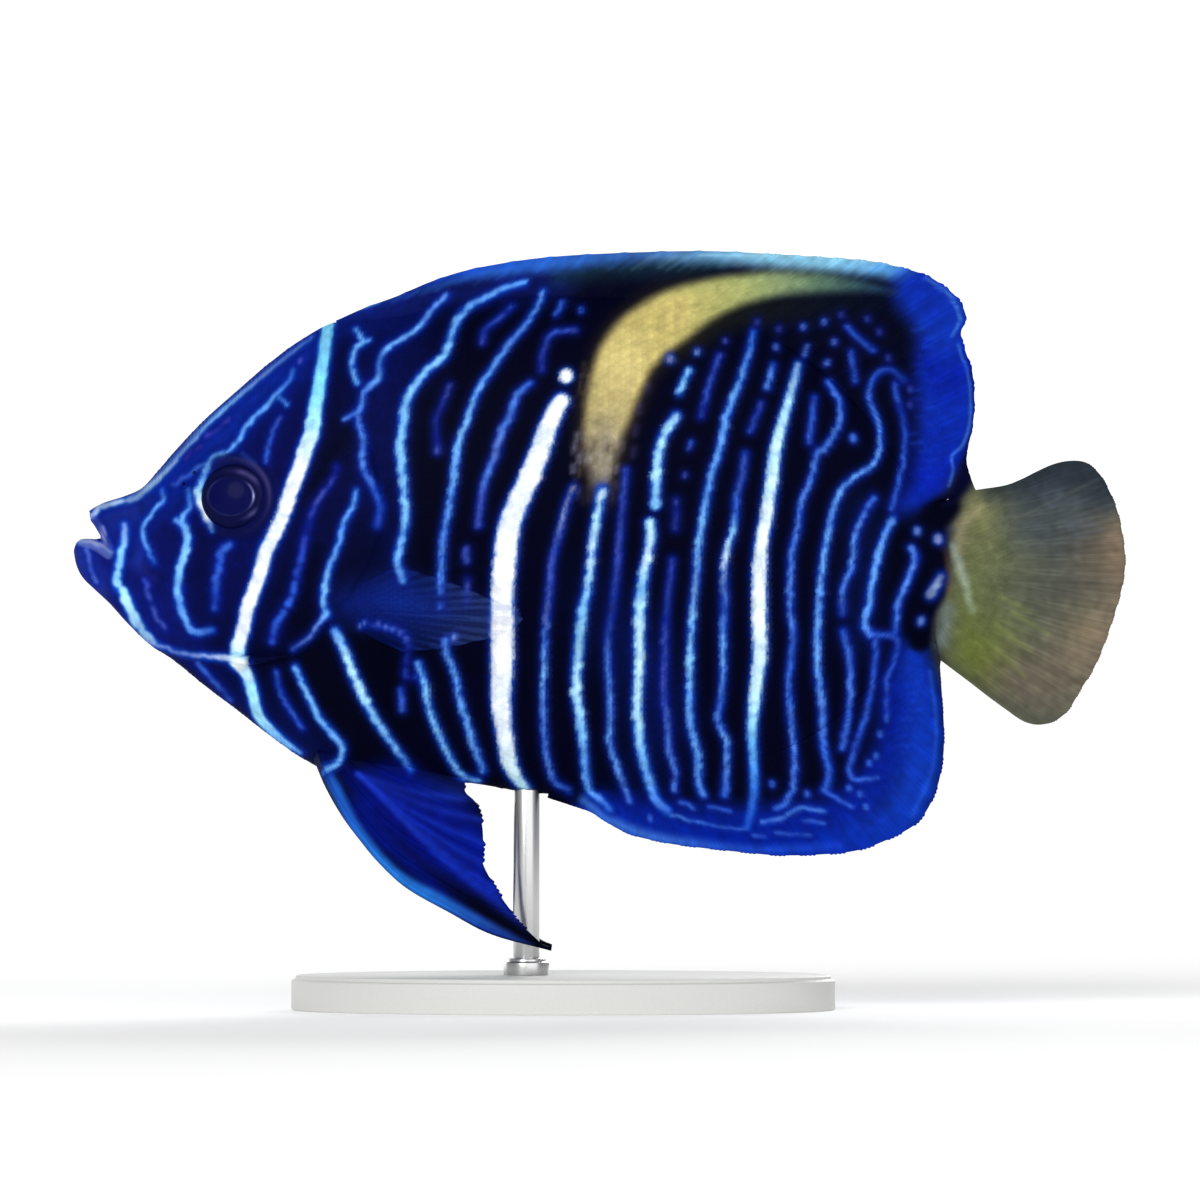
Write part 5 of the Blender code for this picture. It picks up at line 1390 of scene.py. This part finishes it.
def lay_scales(name, points, outward, seeds, lie, material, unwrap):
    """Joined meshes of closed scales on one grid of the fish, each under the limit of vanes."""
    faces, under_faces = vane_faces()
    columns = len(VANE_ACROSS)
    point_count = len(VANE_ALONG) * columns + 1
    # The middle of the rear edge reaches further back than its sides.
    round_off = np.zeros(point_count)
    round_off[[-5, -2]] = VANE_ROUND
    flat_along = VANE_LENGTH * np.append(np.repeat(VANE_ALONG, columns), 0.5) + round_off
    flat_across = VANE_WIDTH * np.append(np.outer(VANE_WIDE, VANE_ACROSS), 0.0)
    crown = VANE_CROWN * np.outer(np.sin(np.pi * np.clip(VANE_ALONG, 0.02, 0.9)), 1 - (2 * VANE_ACROSS) ** 2)
    flat_rise = np.append(VANE_RISE[:, None] + crown, VANE_PIT)
    # Painted shade: each scale is darker towards its sunk root, lighter at its raised rear edge and a little
    # darker at its sides
    shade = np.append(np.outer(0.96 + 0.05 * VANE_ALONG, VANE_SIDES_SHADE), 1.0)
    parts = max(1, math.ceil(len(seeds) / MOST_VANES))
    for number, group in enumerate(np.array_split(seeds, parts)):
        i, k, pitch = group[:, 0], group[:, 1], group[:, 2]
        spot = read_grid(points, i, k)
        step_i = np.linalg.norm(read_grid(points, i + 0.5, k) - read_grid(points, i - 0.5, k), axis=1)
        step_k = np.linalg.norm(read_grid(points, i, k + 0.5) - read_grid(points, i, k - 0.5), axis=1)
        step_i, step_k = np.maximum(step_i, 0.02), np.maximum(step_k, 0.02)
        turn = lie + chance.normal(0.0, TURN_STRAY, len(group))
        size = pitch * (1 + chance.normal(0.0, SIZE_STRAY, len(group)))
        a = flat_along * size[:, None]
        c = flat_across * size[:, None]
        da = a * np.cos(turn)[:, None] - c * np.sin(turn)[:, None]
        dc = a * np.sin(turn)[:, None] + c * np.cos(turn)[:, None]
        gi, gk = i[:, None] + da / step_i[:, None], k[:, None] + dc / step_k[:, None]
        base = read_grid(points, gi, gk)
        normal = read_grid(outward, gi, gk)
        normal /= np.maximum(np.linalg.norm(normal, axis=-1, keepdims=True), 1e-9)
        rise = flat_rise * (size / VANE_FULL_PITCH)[:, None] * VANE_LIFT
        vane = world(base + normal * rise[..., None])
        count = len(group)
        first = (np.arange(count) * point_count)[:, None, None]
        upper = (faces[None] + first).reshape(-1, 4)
        under = (under_faces[None] + first).reshape(-1, 3)
        middle = sheet_tone(world(read_grid(points, i + 0.45 * size / step_i, k)))[:, None]
        tones = (1 - OWN_TONE) * sheet_tone(vane) + OWN_TONE * middle
        bright = 1 + chance.normal(0.0, LIGHT_STRAY, count)[:, None, None]
        tones = tones * bright * shade[None, :, None]
        mesh = mesh_of(name, vane.reshape(-1, 3), upper, under)
        piece = new_piece(name if parts == 1 else f"{name}_{number + 1}", mesh, material)
        if mesh_is_inside_out(vane, faces, normal):
            mesh.flip_normals()
        colour_piece(piece, tones.reshape(-1, 3))
        add_bake_map(piece, unwrap(spot, group[:, 3]), a, c, size)
        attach(piece, "root")


def mesh_is_inside_out(vane, faces, normal):
    """True where the upper faces of the scales look into the body."""
    corners = vane[:, faces]
    facing = np.cross(corners[:, :, 2] - corners[:, :, 0], corners[:, :, 3] - corners[:, :, 1])
    return (facing * normal[:, faces].mean(axis=2)).sum() < 0


# The unwrapped skin: the left flank and the right one, each with the feet of its fins beyond its edges.
UNWRAP_LENGTH = 165.0
LEFT_MIDDLE, RIGHT_MIDDLE = 0.25, 0.75
UNWRAP_FLANK = 33.0
BAKE_PATCH = 0.003
VANE_REACH, VANE_SPAN = 1.8, 1.2


def add_bake_map(piece, roots, a, c, size):
    """A UV map named OFBake, where each scale is a small patch at its root's place on the unwrapped skin."""
    size = size[:, None]
    local = np.stack([a / size / VANE_REACH, c / size / VANE_SPAN + 0.5], axis=-1) * BAKE_PATCH
    local = (roots[:, None] + local).reshape(-1, 2)
    layer = piece.data.uv_layers.new(name="OFBake")
    corner_of = np.empty(len(piece.data.loops), np.int32)
    piece.data.loops.foreach_get("vertex_index", corner_of)
    layer.data.foreach_set("uv", local[corner_of].astype(np.float32).ravel())


def unwrapped(back, arc, middle):
    return np.column_stack([back / UNWRAP_LENGTH, middle + arc / UNWRAP_LENGTH])


BODY_PITCH = [(6.0, 0.5), (16.0, 0.52), (30.0, 0.62), (42.0, 0.8), (85.0, 0.78), (100.0, 0.62)]
NOSE_CLEAR, NOSE_SLOPE, EYE_CLEAR, NOSTRIL_CLEAR, TAIL_CLEAR, KEEL_CLEAR = 8.5, 0.25, 5.0, 0.9, 1.6, 0.25


def body_scales(grid, outward, material):
    half = RING_POINTS // 2
    right = (grid[:, : half + 1], outward[:, : half + 1])
    left = tuple(np.concatenate([v[:, half:], v[:, :1]], axis=1)[:, ::-1] for v in (grid, outward))

    def pitch_at(spot):
        return np.interp(spot[0], *zip(*BODY_PITCH))

    def wanted(spots):
        from_eye = np.hypot(spots[:, 0] - EYE_PLACE[0], spots[:, 2] - EYE_PLACE[1])
        nose = spots[:, 0] + NOSE_SLOPE * np.abs(spots[:, 2])
        clear = (nose > NOSE_CLEAR) & (from_eye > EYE_CLEAR) & (spots[:, 0] < BODY_END - TAIL_CLEAR)
        for back, up in NOSTRILS:
            clear &= np.hypot(spots[:, 0] - back, spots[:, 2] - up) > NOSTRIL_CLEAR
        return clear & (np.abs(spots[:, 1]) > KEEL_CLEAR)

    for name, (points, normals), middle in (("left", left, LEFT_MIDDLE), ("right", right, RIGHT_MIDDLE)):
        seeds = sow_scales(points, pitch_at)
        seeds = seeds[wanted(read_grid(points, seeds[:, 0], seeds[:, 1]))]
        lay_scales(
            f"scales_{name}", points, normals, seeds, 0.0, material,
            lambda spot, arc, middle=middle: unwrapped(spot[:, 0], arc, middle),
        )


# The fins

# Where rays fork on their way out, how far their branches part and how much thinner they get, in spacings
FIRST_FORK, SECOND_FORK = (0.3, 0.6), (0.6, 0.85)
FORK_APART, FORK_THINNER = (0.13, 0.068), (0.045, 0.035)
RAY_WIDTH, SPINE_WIDTH, SPINE_THINNER = 0.13, 0.15, 0.05


def ray_height(offset, out, branched):
    """Height of the rays over the web, 0 to 1. Offset is the distance from the nearest ray, in spacings."""
    if not branched:
        return np.exp(-((offset / (SPINE_WIDTH - SPINE_THINNER * out)) ** 2))
    first = FORK_APART[0] * ramp(out, *FIRST_FORK)
    second = FORK_APART[1] * ramp(out, *SECOND_FORK)
    width = RAY_WIDTH - FORK_THINNER[0] * ramp(out, *FIRST_FORK) - FORK_THINNER[1] * ramp(out, *SECOND_FORK)
    height = np.zeros(np.broadcast(offset, out).shape)
    for a in (-1, 1):
        for b in (-1, 1):
            height = np.maximum(height, np.exp(-(((offset - a * first - b * second) / width) ** 2)))
    return height


def fin_surface(rays, per_ray, rows, middle, web, ray, branched, notch):
    """Points, half thickness, outward direction and ray height of a fin, share by out."""
    rays = np.asarray(rays, float)
    branched = np.broadcast_to(branched, len(rays))
    shares = np.concatenate(
        [np.linspace(a, b, per_ray, endpoint=False) for a, b in zip(rays, rays[1:])] + [[rays[-1]]]
    )
    share, out = np.meshgrid(shares, np.linspace(0.0, 1.0, rows), indexing="ij")
    nearest = np.abs(shares[:, None] - rays[None]).argmin(axis=1)
    spacing = np.gradient(rays)[nearest][:, None]
    offset = (shares - rays[nearest])[:, None] / spacing
    height = np.where(
        branched[nearest][:, None], ray_height(offset, out, True), ray_height(offset, out, False)
    )
    points = middle(share, out - notch * out**3 * (1 - height))
    across, outward = np.gradient(points, axis=0), np.gradient(points, axis=1)
    normal = np.cross(across, outward)
    normal /= np.maximum(np.linalg.norm(normal, axis=2, keepdims=True), 1e-9)
    if normal[..., 1].sum() > 0:
        normal = -normal
    half = web(out) + (ray(out) - web(out)) * height
    return points, half, normal, height


def build_fin(name, nodes, surface, materials, tones, see_through=None):
    """A closed fin with both its faces, which meet round the edge."""
    points, half, normal, height = surface
    columns, rows = half.shape
    near = points + normal * half[..., None]
    far = points - normal * half[..., None]
    count = columns * rows
    flat = world(np.concatenate([near.reshape(-1, 3), far.reshape(-1, 3)]))
    index = np.arange(count).reshape(columns, rows)
    rim = np.concatenate([index[:, 0], index[-1, 1:], index[-2::-1, -1], index[0, -2:0:-1]])
    after = np.roll(rim, -1)
    edge = np.column_stack([rim, after, after + count, rim + count])
    near_faces = quads(columns, rows)
    far_faces = quads(columns, rows, count)[:, ::-1]
    mesh = mesh_of(name, flat, near_faces, far_faces, edge[:, ::-1])
    piece = new_piece(name, mesh, materials[0])
    turn_outwards(piece)
    for extra in materials[1:]:
        mesh.materials.append(extra)
    if see_through is not None:
        see_through(piece, height)
    places = places_of(piece.data)
    values = tones(places)
    # Painted light and shade of the relief: the raised rays a little lighter, the web between them a little
    # darker
    amount = np.concatenate([height.ravel(), height.ravel()])
    if len(amount) == len(values):
        values = values * (0.95 + 0.1 * amount[:, None])
    colour_piece(piece, values)
    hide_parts(*nodes)
    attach(piece, "root")
    return piece


def fin_scales(name, surface, material, pitch, wanted, lie, arc_at):
    """Small scales that run from the body on to the foot of an upright fin, on both its faces."""
    points, half, normal, _ = surface
    for side, facing, middle in (("left", 1, LEFT_MIDDLE), ("right", -1, RIGHT_MIDDLE)):
        face = points + facing * normal * (half + 0.01)[..., None]
        seeds = sow_scales(face, lambda spot: pitch)
        shares = seeds[:, :2] / (face.shape[0] - 1, face.shape[1] - 1)
        seeds = seeds[wanted(*shares.T)]
        lay_scales(
            f"{name}_{side}", face, facing * normal, seeds, lie, material,
            lambda spot, arc, middle=middle: unwrapped(spot[:, 0], arc_at(spot), middle),
        )


def taper(start, end, power=1.0):
    return lambda out: start + (end - start) * out**power


def upright(root_at, edge_at):
    """Middle surface of a fin that stands in the fish's middle plane."""
    def middle(share, out):
        root, edge = root_at(share), edge_at(share)
        flat = root + (edge - root) * out[..., None]
        return np.stack([flat[..., 0], np.zeros_like(out), flat[..., 1]], axis=-1)

    return middle


# Half thickness of web and rays at the root and at the edge, and the power of the way between
UPRIGHT_WEB, UPRIGHT_RAY, UPRIGHT_NOTCH = (1.5, 0.14, 0.8), (1.62, 0.24, 0.8), 0.012
TAIL_WEB, TAIL_RAY, TAIL_NOTCH = (1.5, 0.12, 0.6), (1.66, 0.2, 0.6), 0.006
PECTORAL_WEB, PECTORAL_RAY, PECTORAL_NOTCH = (0.7, 0.07, 0.4), (0.8, 0.13, 0.4), 0.02
PELVIC_WEB, PELVIC_RAY, PELVIC_NOTCH = (0.7, 0.12, 0.6), (0.95, 0.24, 0.6), 0.02
ROOT_POINTS = 60
# How far scales run up the feet of the fins, by the share along the fin
DORSAL_FOOT = ((0.0, 0.1, 0.5, 0.8, 1.0), (0.6, 0.62, 0.66, 0.62, 0.5))
ANAL_FOOT = ((0.0, 0.2, 0.7, 1.0), (0.5, 0.66, 0.62, 0.5))
FOOT_STRAY, FOOT_START, FOOT_ENDS = 0.012, 0.12, (0.004, 0.985)
FOOT_PITCH, FOOT_LIE = 0.62, 0.45


def build_upright_fins(fin_material, scale_material):
    def root_chain(line, ends, sunk):
        backs = np.linspace(*ends, ROOT_POINTS)
        return np.column_stack([backs, line(backs) + sunk])

    spines = np.linspace(0.0, SPINY_SHARE, DORSAL_SPINES, endpoint=False)
    soft = np.linspace(SPINY_SHARE, 1.0, DORSAL_SOFT_RAYS)
    dorsal = fin_surface(
        np.concatenate([spines, soft]), 12, 44,
        upright(share_reader(root_chain(back_line, DORSAL_BASE, -FIN_ROOT_SUNK)),
                share_reader(drawn_curve(DORSAL_EDGE))),
        taper(*UPRIGHT_WEB), taper(*UPRIGHT_RAY),
        [False] * DORSAL_SPINES + [True] * DORSAL_SOFT_RAYS, UPRIGHT_NOTCH,
    )
    anal = fin_surface(
        np.linspace(0.0, 1.0, ANAL_RAYS), 14, 44,
        upright(share_reader(root_chain(belly_line, ANAL_BASE, FIN_ROOT_SUNK)),
                share_reader(drawn_curve(ANAL_EDGE))),
        taper(*UPRIGHT_WEB), taper(*UPRIGHT_RAY), True, UPRIGHT_NOTCH,
    )
    dorsal_nodes = ("dorsal_fin_spiny", "dorsal_fin_soft")
    build_fin("dorsal_fin", dorsal_nodes, dorsal, [fin_material], sheet_tone)
    build_fin("anal_fin_rays", ("anal_fin",), anal, [fin_material], sheet_tone)

    def on_foot(reach):
        def wanted(along, out):
            edge = np.interp(along, *reach) + chance.normal(0.0, FOOT_STRAY, len(out))
            return (out > FOOT_START) & (out < edge) & (along > FOOT_ENDS[0]) & (along < FOOT_ENDS[1])

        return wanted

    fin_scales("dorsal_scales", dorsal, scale_material, FOOT_PITCH, on_foot(DORSAL_FOOT), FOOT_LIE,
               lambda spot: UNWRAP_FLANK + spot[:, 2] - back_line(spot[:, 0]))
    fin_scales("anal_scales", anal, scale_material, FOOT_PITCH, on_foot(ANAL_FOOT), FOOT_LIE,
               lambda spot: spot[:, 2] - belly_line(spot[:, 0]) - UNWRAP_FLANK)


TAIL_FOOT, TAIL_FOOT_STRAY, TAIL_FOOT_START, TAIL_FOOT_ENDS = 0.36, 0.03, 0.15, (0.05, 0.95)
TAIL_PITCH = 0.5


def build_tail_fin(material, scale_material):
    read = share_reader(drawn_curve(TAIL_EDGE))
    root = share_reader(np.array(TAIL_ROOT, float))

    def middle(share, out):
        start = root(share)
        end = read(TAIL_UPPER_SHARE + (TAIL_LOWER_SHARE - TAIL_UPPER_SHARE) * share)
        flat = start + (end - start) * out[..., None]
        shown = np.clip((out - TAIL_HEEL) / (1 - TAIL_HEEL), 0.0, 1.0)
        for first, edge_start, edge_end, weight in (
            (root(0.0), 0.0, TAIL_UPPER_SHARE, (1 - share) ** 5),
            (root(1.0), 1.0, TAIL_LOWER_SHARE, share**5),
        ):
            foot = first + (read(edge_start) - first) * (out / TAIL_HEEL)[..., None]
            edge = read(edge_start + (edge_end - edge_start) * shown)
            along = np.where((out < TAIL_HEEL)[..., None], foot, edge)
            line = first + (read(edge_end) - first) * out[..., None]
            flat = flat + (along - line) * weight[..., None]
        return np.stack([flat[..., 0], np.zeros_like(out), flat[..., 1]], axis=-1)

    surface = fin_surface(np.linspace(0.0, 1.0, TAIL_RAYS), 16, 64, middle, taper(*TAIL_WEB),
                          taper(*TAIL_RAY), True, TAIL_NOTCH)
    build_fin("tail_fan", ("tail_fin",), surface, [material], sheet_tone)

    def wanted(out, share):
        edge = TAIL_FOOT + chance.normal(0.0, TAIL_FOOT_STRAY, len(out))
        inside = (share > TAIL_FOOT_ENDS[0]) & (share < TAIL_FOOT_ENDS[1])
        return (out > TAIL_FOOT_START) & (out < edge) & inside

    points, half, normal, height = surface
    turned = (points.swapaxes(0, 1), half.T, normal.swapaxes(0, 1), height.T)
    fin_scales("tail_scales", turned, scale_material, TAIL_PITCH, wanted, 0.0, lambda spot: spot[:, 2])


PECTORAL_TONE, PECTORAL_FAR_TONE, PECTORAL_FAR = (12, 40, 148), (64, 90, 172), (36.0, 47.0)
RAY_STANDS_OUT = 0.45


def build_pectoral_fins(film, rays):
    root, edge = share_reader(np.array(PECTORAL_ROOT, float)), share_reader(drawn_curve(PECTORAL_EDGE))
    for name, side in (("left", -1), ("right", 1)):
        def middle(share, out, side=side):
            start, end = root(share), edge(share)
            flat = start + (end - start) * out[..., None]
            depth = flank(start[..., 0], start[..., 1]) - PECTORAL_SUNK
            depth = depth + PECTORAL_FLARE * np.sin(out * math.pi / 2) ** 0.9
            return np.stack([flat[..., 0], side * depth, flat[..., 1]], axis=-1)

        def tones(places):
            far = ramp(places[:, 0] + TOTAL_LENGTH / 2, *PECTORAL_FAR)
            return blend(np.array(PECTORAL_TONE), PECTORAL_FAR_TONE, far)

        def see_through(piece, height):
            """Rays take the second, denser material."""
            columns, rows = height.shape
            face = (height[:-1, :-1] + height[1:, 1:]) / 2 > RAY_STANDS_OUT
            marks = np.zeros(len(piece.data.polygons), np.int32)
            if len(marks) >= 2 * face.size:
                marks[: face.size] = face.ravel()
                marks[face.size : 2 * face.size] = face.ravel()
            piece.data.polygons.foreach_set("material_index", marks)

        surface = fin_surface(np.linspace(0.0, 1.0, PECTORAL_RAYS), 14, 40, middle, taper(*PECTORAL_WEB),
                              taper(*PECTORAL_RAY), True, PECTORAL_NOTCH)
        build_fin(f"pectoral_fan_{name}", (f"pectoral_fin_{name}",), surface, [film, rays],
                  tones, see_through)


def build_pelvic_fins(material):
    lead, edge = share_reader(drawn_curve(PELVIC_LEAD)), share_reader(drawn_curve(PELVIC_EDGE))
    for name, side in (("left", -1), ("right", 1)):
        def middle(share, out, side=side):
            start = lead(0.0) + np.stack([PELVIC_ROOT_LENGTH * share, np.zeros_like(share)], axis=-1)
            end = edge(share)
            bow = lead(out) - (lead(0.0) + (lead(1.0) - lead(0.0)) * out[..., None])
            flat = start + (end - start) * out[..., None] + bow * ((1 - share) ** 1.5)[..., None]
            outer = PELVIC_LEAD_OUT[0] + (PELVIC_LEAD_OUT[1] - PELVIC_LEAD_OUT[0]) * out
            inner = PELVIC_INNER_OUT[0] + (PELVIC_INNER_OUT[1] - PELVIC_INNER_OUT[0]) * out
            depth = outer + (inner - outer) * share**0.8
            return np.stack([flat[..., 0], side * depth, flat[..., 1]], axis=-1)

        surface = fin_surface(np.linspace(0.0, 1.0, PELVIC_RAYS), 26, 64, middle, taper(*PELVIC_WEB),
                              taper(*PELVIC_RAY), [False] + [True] * (PELVIC_RAYS - 1), PELVIC_NOTCH)
        node = f"pelvic_fin_{name}"
        build_fin(f"pelvic_rays_{name}", (node,), surface, [material], sheet_tone)


# The eyes

def eyeball(name, side, grown=0.0, segments=64, rings=32):
    """A flattened ball set into the head, its axis square to the skin."""
    normal = flank_normal(*EYE_PLACE, side)
    at = world((EYE_PLACE[0], side * flank(*EYE_PLACE), EYE_PLACE[1])) * MM - np.array(normal) * EYE_SUNK * MM
    clear_selection()
    bpy.ops.mesh.primitive_uv_sphere_add(
        segments=segments, ring_count=rings, radius=MM, location=at,
        rotation=normal.to_track_quat("Z", "Y").to_euler(),
        scale=(EYE_RADIUS + grown, EYE_RADIUS + grown, EYE_DEPTH + grown),
    )
    return settle(name)


PUPIL = (2.62, 2.16)
PUPIL_BACK = -0.16
EYE_TONE, PUPIL_TONE = (7, 11, 54.0), (6, 10, 66)
# Arcs round the pupil: place in pupil sizes, width, middle angle, spread, tone and strength
EYE_ARCS = (
    (1.0, 0.05, 0.12, 0.5, (178, 182, 228), 1.2),
    (1.0, 0.05, 2.9, 0.9, (66, 68, 126), 0.6),
    (1.0, 0.05, -1.5, 0.9, (56, 60, 116), 0.5),
    (1.36, 0.15, 0.85, 0.75, (78, 70, 122), 1.0),
    (1.3, 0.12, -0.75, 0.35, (84, 84, 130), 0.8),
)


def build_eyes(material):
    for name, side in (("left", -1), ("right", 1)):
        ball = eyeball(f"eyeball_{name}", side, segments=128, rings=96)
        ball.data.materials.clear()
        ball.data.materials.append(material)
        places = places_of(ball.data)
        back = places[:, 0] + TOTAL_LENGTH / 2 - EYE_PLACE[0]
        up = places[:, 2] - AXIS_HEIGHT - EYE_PLACE[1]
        angle = np.arctan2(up, back)
        away = np.hypot((back - PUPIL_BACK) / PUPIL[0], up / PUPIL[1])
        patchy = 0.75 + 0.25 * np.sin(7 * angle + 2.6) * np.sin(3 * angle + 0.6)
        tones = np.tile(np.array(EYE_TONE), (len(places), 1))
        tones = blend(tones, PUPIL_TONE, 1 - ramp(away, 0.9, 1.0))
        for at, width, start, spread, tone, strength in EYE_ARCS:
            swing = np.angle(np.exp(1j * (angle - start)))
            ring = np.exp(-(((away - at) / width) ** 2)) * np.exp(-((swing / spread) ** 2))
            tones = blend(tones, tone, ring * strength * patchy)
        colour_piece(ball, tones)
        ball.data.shade_smooth()
        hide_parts(f"eye_{name}")
        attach(ball, "root")


# The stand

PAINT_COLOUR, STEEL_COLOUR = (0.60, 0.60, 0.58), (0.62, 0.62, 0.62)
PLATE_STEP, PLATE_RIM, PLATE_SEGMENTS = 0.5, 0.3, 160
POST_RIM, POST_SEGMENTS = 0.2, 96
COLLAR_WIDER, COLLAR_HEIGHT, COLLAR_STEP, COLLAR_RIM = 1.1, 1.9, 0.4, 0.12
STAND_SHARP = 35


def turned_piece(name, radius, low, high, material, step, rim, segments):
    """An upright round piece whose top is stepped in by the first size, with rounded edges."""
    clear_selection()
    bpy.ops.mesh.primitive_cylinder_add(
        vertices=segments, radius=radius * MM, depth=(high - low) * MM, location=(0, 0, (low + high) / 2 * MM)
    )
    made = settle(name, material)
    made.select_set(True)
    bpy.context.view_layer.objects.active = made
    if step:
        bpy.ops.object.mode_set(mode="EDIT")
        bpy.ops.mesh.select_mode(type="FACE")
        bpy.ops.mesh.select_all(action="DESELECT")
        shape = bmesh.from_edit_mesh(made.data)
        for face in shape.faces:
            face.select_set(face.normal.z > 0.9)
        bmesh.update_edit_mesh(made.data)
        bpy.ops.transform.translate(value=(0, 0, -step * MM))
        bpy.ops.mesh.inset(thickness=step * MM)
        bpy.ops.mesh.extrude_region_move(TRANSFORM_OT_translate={"value": (0, 0, step * MM)})
        bpy.ops.object.mode_set(mode="OBJECT")
    edge = made.modifiers.new("edge", "BEVEL")
    edge.width = rim * MM
    edge.segments = 3
    edge.limit_method = "ANGLE"
    bpy.ops.object.modifier_apply(modifier="edge")
    made.data.shade_smooth()
    made.data.set_sharp_from_angle(angle=math.radians(STAND_SHARP))
    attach(made, "root")
    return made


def build_stand():
    paint = stand_finish("stand_powder_coat", PAINT_COLOUR, 0.5, 0.0, 5200.0, 0.35)
    steel = stand_finish("stand_brushed_steel", STEEL_COLOUR, 0.28, 1.0, 900.0, 0.15, (1.0, 1.0, 0.02))
    base_low, base_high = (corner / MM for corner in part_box("stand_base"))
    rod_low, rod_high = (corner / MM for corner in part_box("stand_rod"))
    rod_radius = (rod_high.x - rod_low.x) / 2
    plate = turned_piece("stand_plate", (base_high.x - base_low.x) / 2, base_low.z, base_high.z, paint,
                         PLATE_STEP, PLATE_RIM, PLATE_SEGMENTS)
    post = turned_piece("stand_post", rod_radius, rod_low.z, rod_high.z, steel, 0.0, POST_RIM, POST_SEGMENTS)
    collar = turned_piece("stand_collar", rod_radius + COLLAR_WIDER, base_high.z, base_high.z + COLLAR_HEIGHT,
                          steel, COLLAR_STEP, COLLAR_RIM, POST_SEGMENTS)
    oval = (base_high.y - base_low.y) / (base_high.x - base_low.x)
    plate.data.transform(Matrix.Diagonal((1.0, oval, 1.0, 1.0)))
    for piece, low, high in (
        (plate, base_low, base_high), (post, rod_low, rod_high), (collar, rod_low, rod_high),
    ):
        middle = ((low.x + high.x) / 2 * MM, (low.y + high.y) / 2 * MM, 0.0)
        piece.data.transform(Matrix.Translation(middle))
    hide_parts("stand_base")
    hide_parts("stand_rod")


# Floor, lights and camera

FLOOR_SIZE = 60.0
FLOOR_TONE, FLOOR_GLOW, FLOOR_ROUGHNESS = (0.9, 0.9, 0.9, 1.0), 0.2, 0.9
ROOM_WHITE, ROOM_LIGHT, ROOM_SEEN = (1.0, 1.0, 1.0, 1.0), 0.3, 1.1
# Soft suns before and behind the fish: name, strength, spread, elevation and azimuth in degrees
LAMPS = (
    ("key_light", 1.75, 30, 26, -20), ("fill_light", 1.05, 60, 8, 30),
    ("rear_key_light", 1.75, 30, 26, 160), ("rear_fill_light", 1.05, 60, 8, -150),
)


def build_stage():
    clear_selection()
    bpy.ops.mesh.primitive_plane_add(size=FLOOR_SIZE, location=(0, 0, 0))
    floor = settle("floor")
    pale = bpy.data.materials.new("pale_floor")
    pale.use_nodes = True
    shader = pale.node_tree.nodes["Principled BSDF"]
    shader.inputs["Base Color"].default_value = FLOOR_TONE
    shader.inputs["Emission Color"].default_value = ROOM_WHITE
    shader.inputs["Emission Strength"].default_value = FLOOR_GLOW
    shader.inputs["Roughness"].default_value = FLOOR_ROUGHNESS
    shader.inputs["Specular IOR Level"].default_value = 0.0
    floor.data.materials.append(pale)

    for name, strength, spread, elevation, azimuth in LAMPS:
        lamp = bpy.data.lights.new(name, "SUN")
        lamp.energy = strength
        lamp.angle = math.radians(spread)
        holder = bpy.data.objects.new(name, lamp)
        bpy.context.scene.collection.objects.link(holder)
        up, round_z = math.radians(elevation), math.radians(azimuth)
        towards = Vector((math.sin(round_z) * math.cos(up), -math.cos(round_z) * math.cos(up), math.sin(up)))
        holder.rotation_euler = towards.to_track_quat("Z", "Y").to_euler()

    room = bpy.data.worlds.new("studio")
    bpy.context.scene.world = room
    room.use_nodes = True
    nodes, links = room.node_tree.nodes, room.node_tree.links
    soft = nodes["Background"]
    soft.inputs["Color"].default_value = ROOM_WHITE
    soft.inputs["Strength"].default_value = ROOM_LIGHT
    seen = nodes.new("ShaderNodeBackground")
    seen.inputs["Color"].default_value = ROOM_WHITE
    seen.inputs["Strength"].default_value = ROOM_SEEN
    ray = nodes.new("ShaderNodeLightPath")
    either = nodes.new("ShaderNodeMixShader")
    links.new(ray.outputs["Is Camera Ray"], either.inputs["Fac"])
    links.new(soft.outputs["Background"], either.inputs[1])
    links.new(seen.outputs["Background"], either.inputs[2])
    links.new(either.outputs["Shader"], nodes["World Output"].inputs["Surface"])
    bpy.context.scene.view_settings.view_transform = "Standard"


def build_camera():
    lens = bpy.data.cameras.new("camera")
    lens.sensor_width = SENSOR
    lens.lens = SENSOR * CAMERA_AWAY / (PHOTO_SIZE * PIXEL)
    lens.clip_start, lens.clip_end = CLIP_NEAR, CLIP_FAR
    camera = bpy.data.objects.new("camera", lens)
    bpy.context.scene.collection.objects.link(camera)
    camera.location = (0.0, -CAMERA_AWAY * MM, CAMERA_HEIGHT * MM)
    camera.rotation_euler = (math.radians(90), 0.0, 0.0)
    bpy.context.scene.camera = camera


paint_sheet()
skin_material, scale_material = skin_finish(), scale_finish()
fin_material = fin_finish("angelfish_fins")
grid, outward = body_grid()
build_skin(grid, skin_material)
build_upright_fins(fin_material, scale_material)
build_tail_fin(fin_finish("angelfish_tail"), scale_material)
pectoral_film = fin_finish("angelfish_pectoral_film", PECTORAL_FILM_ALPHA)
build_pectoral_fins(pectoral_film, fin_finish("angelfish_pectoral_rays", PECTORAL_RAY_ALPHA))
build_pelvic_fins(fin_material)
build_eyes(eye_finish())
body_scales(grid, outward, scale_material)
build_stand()
build_stage()
build_camera()
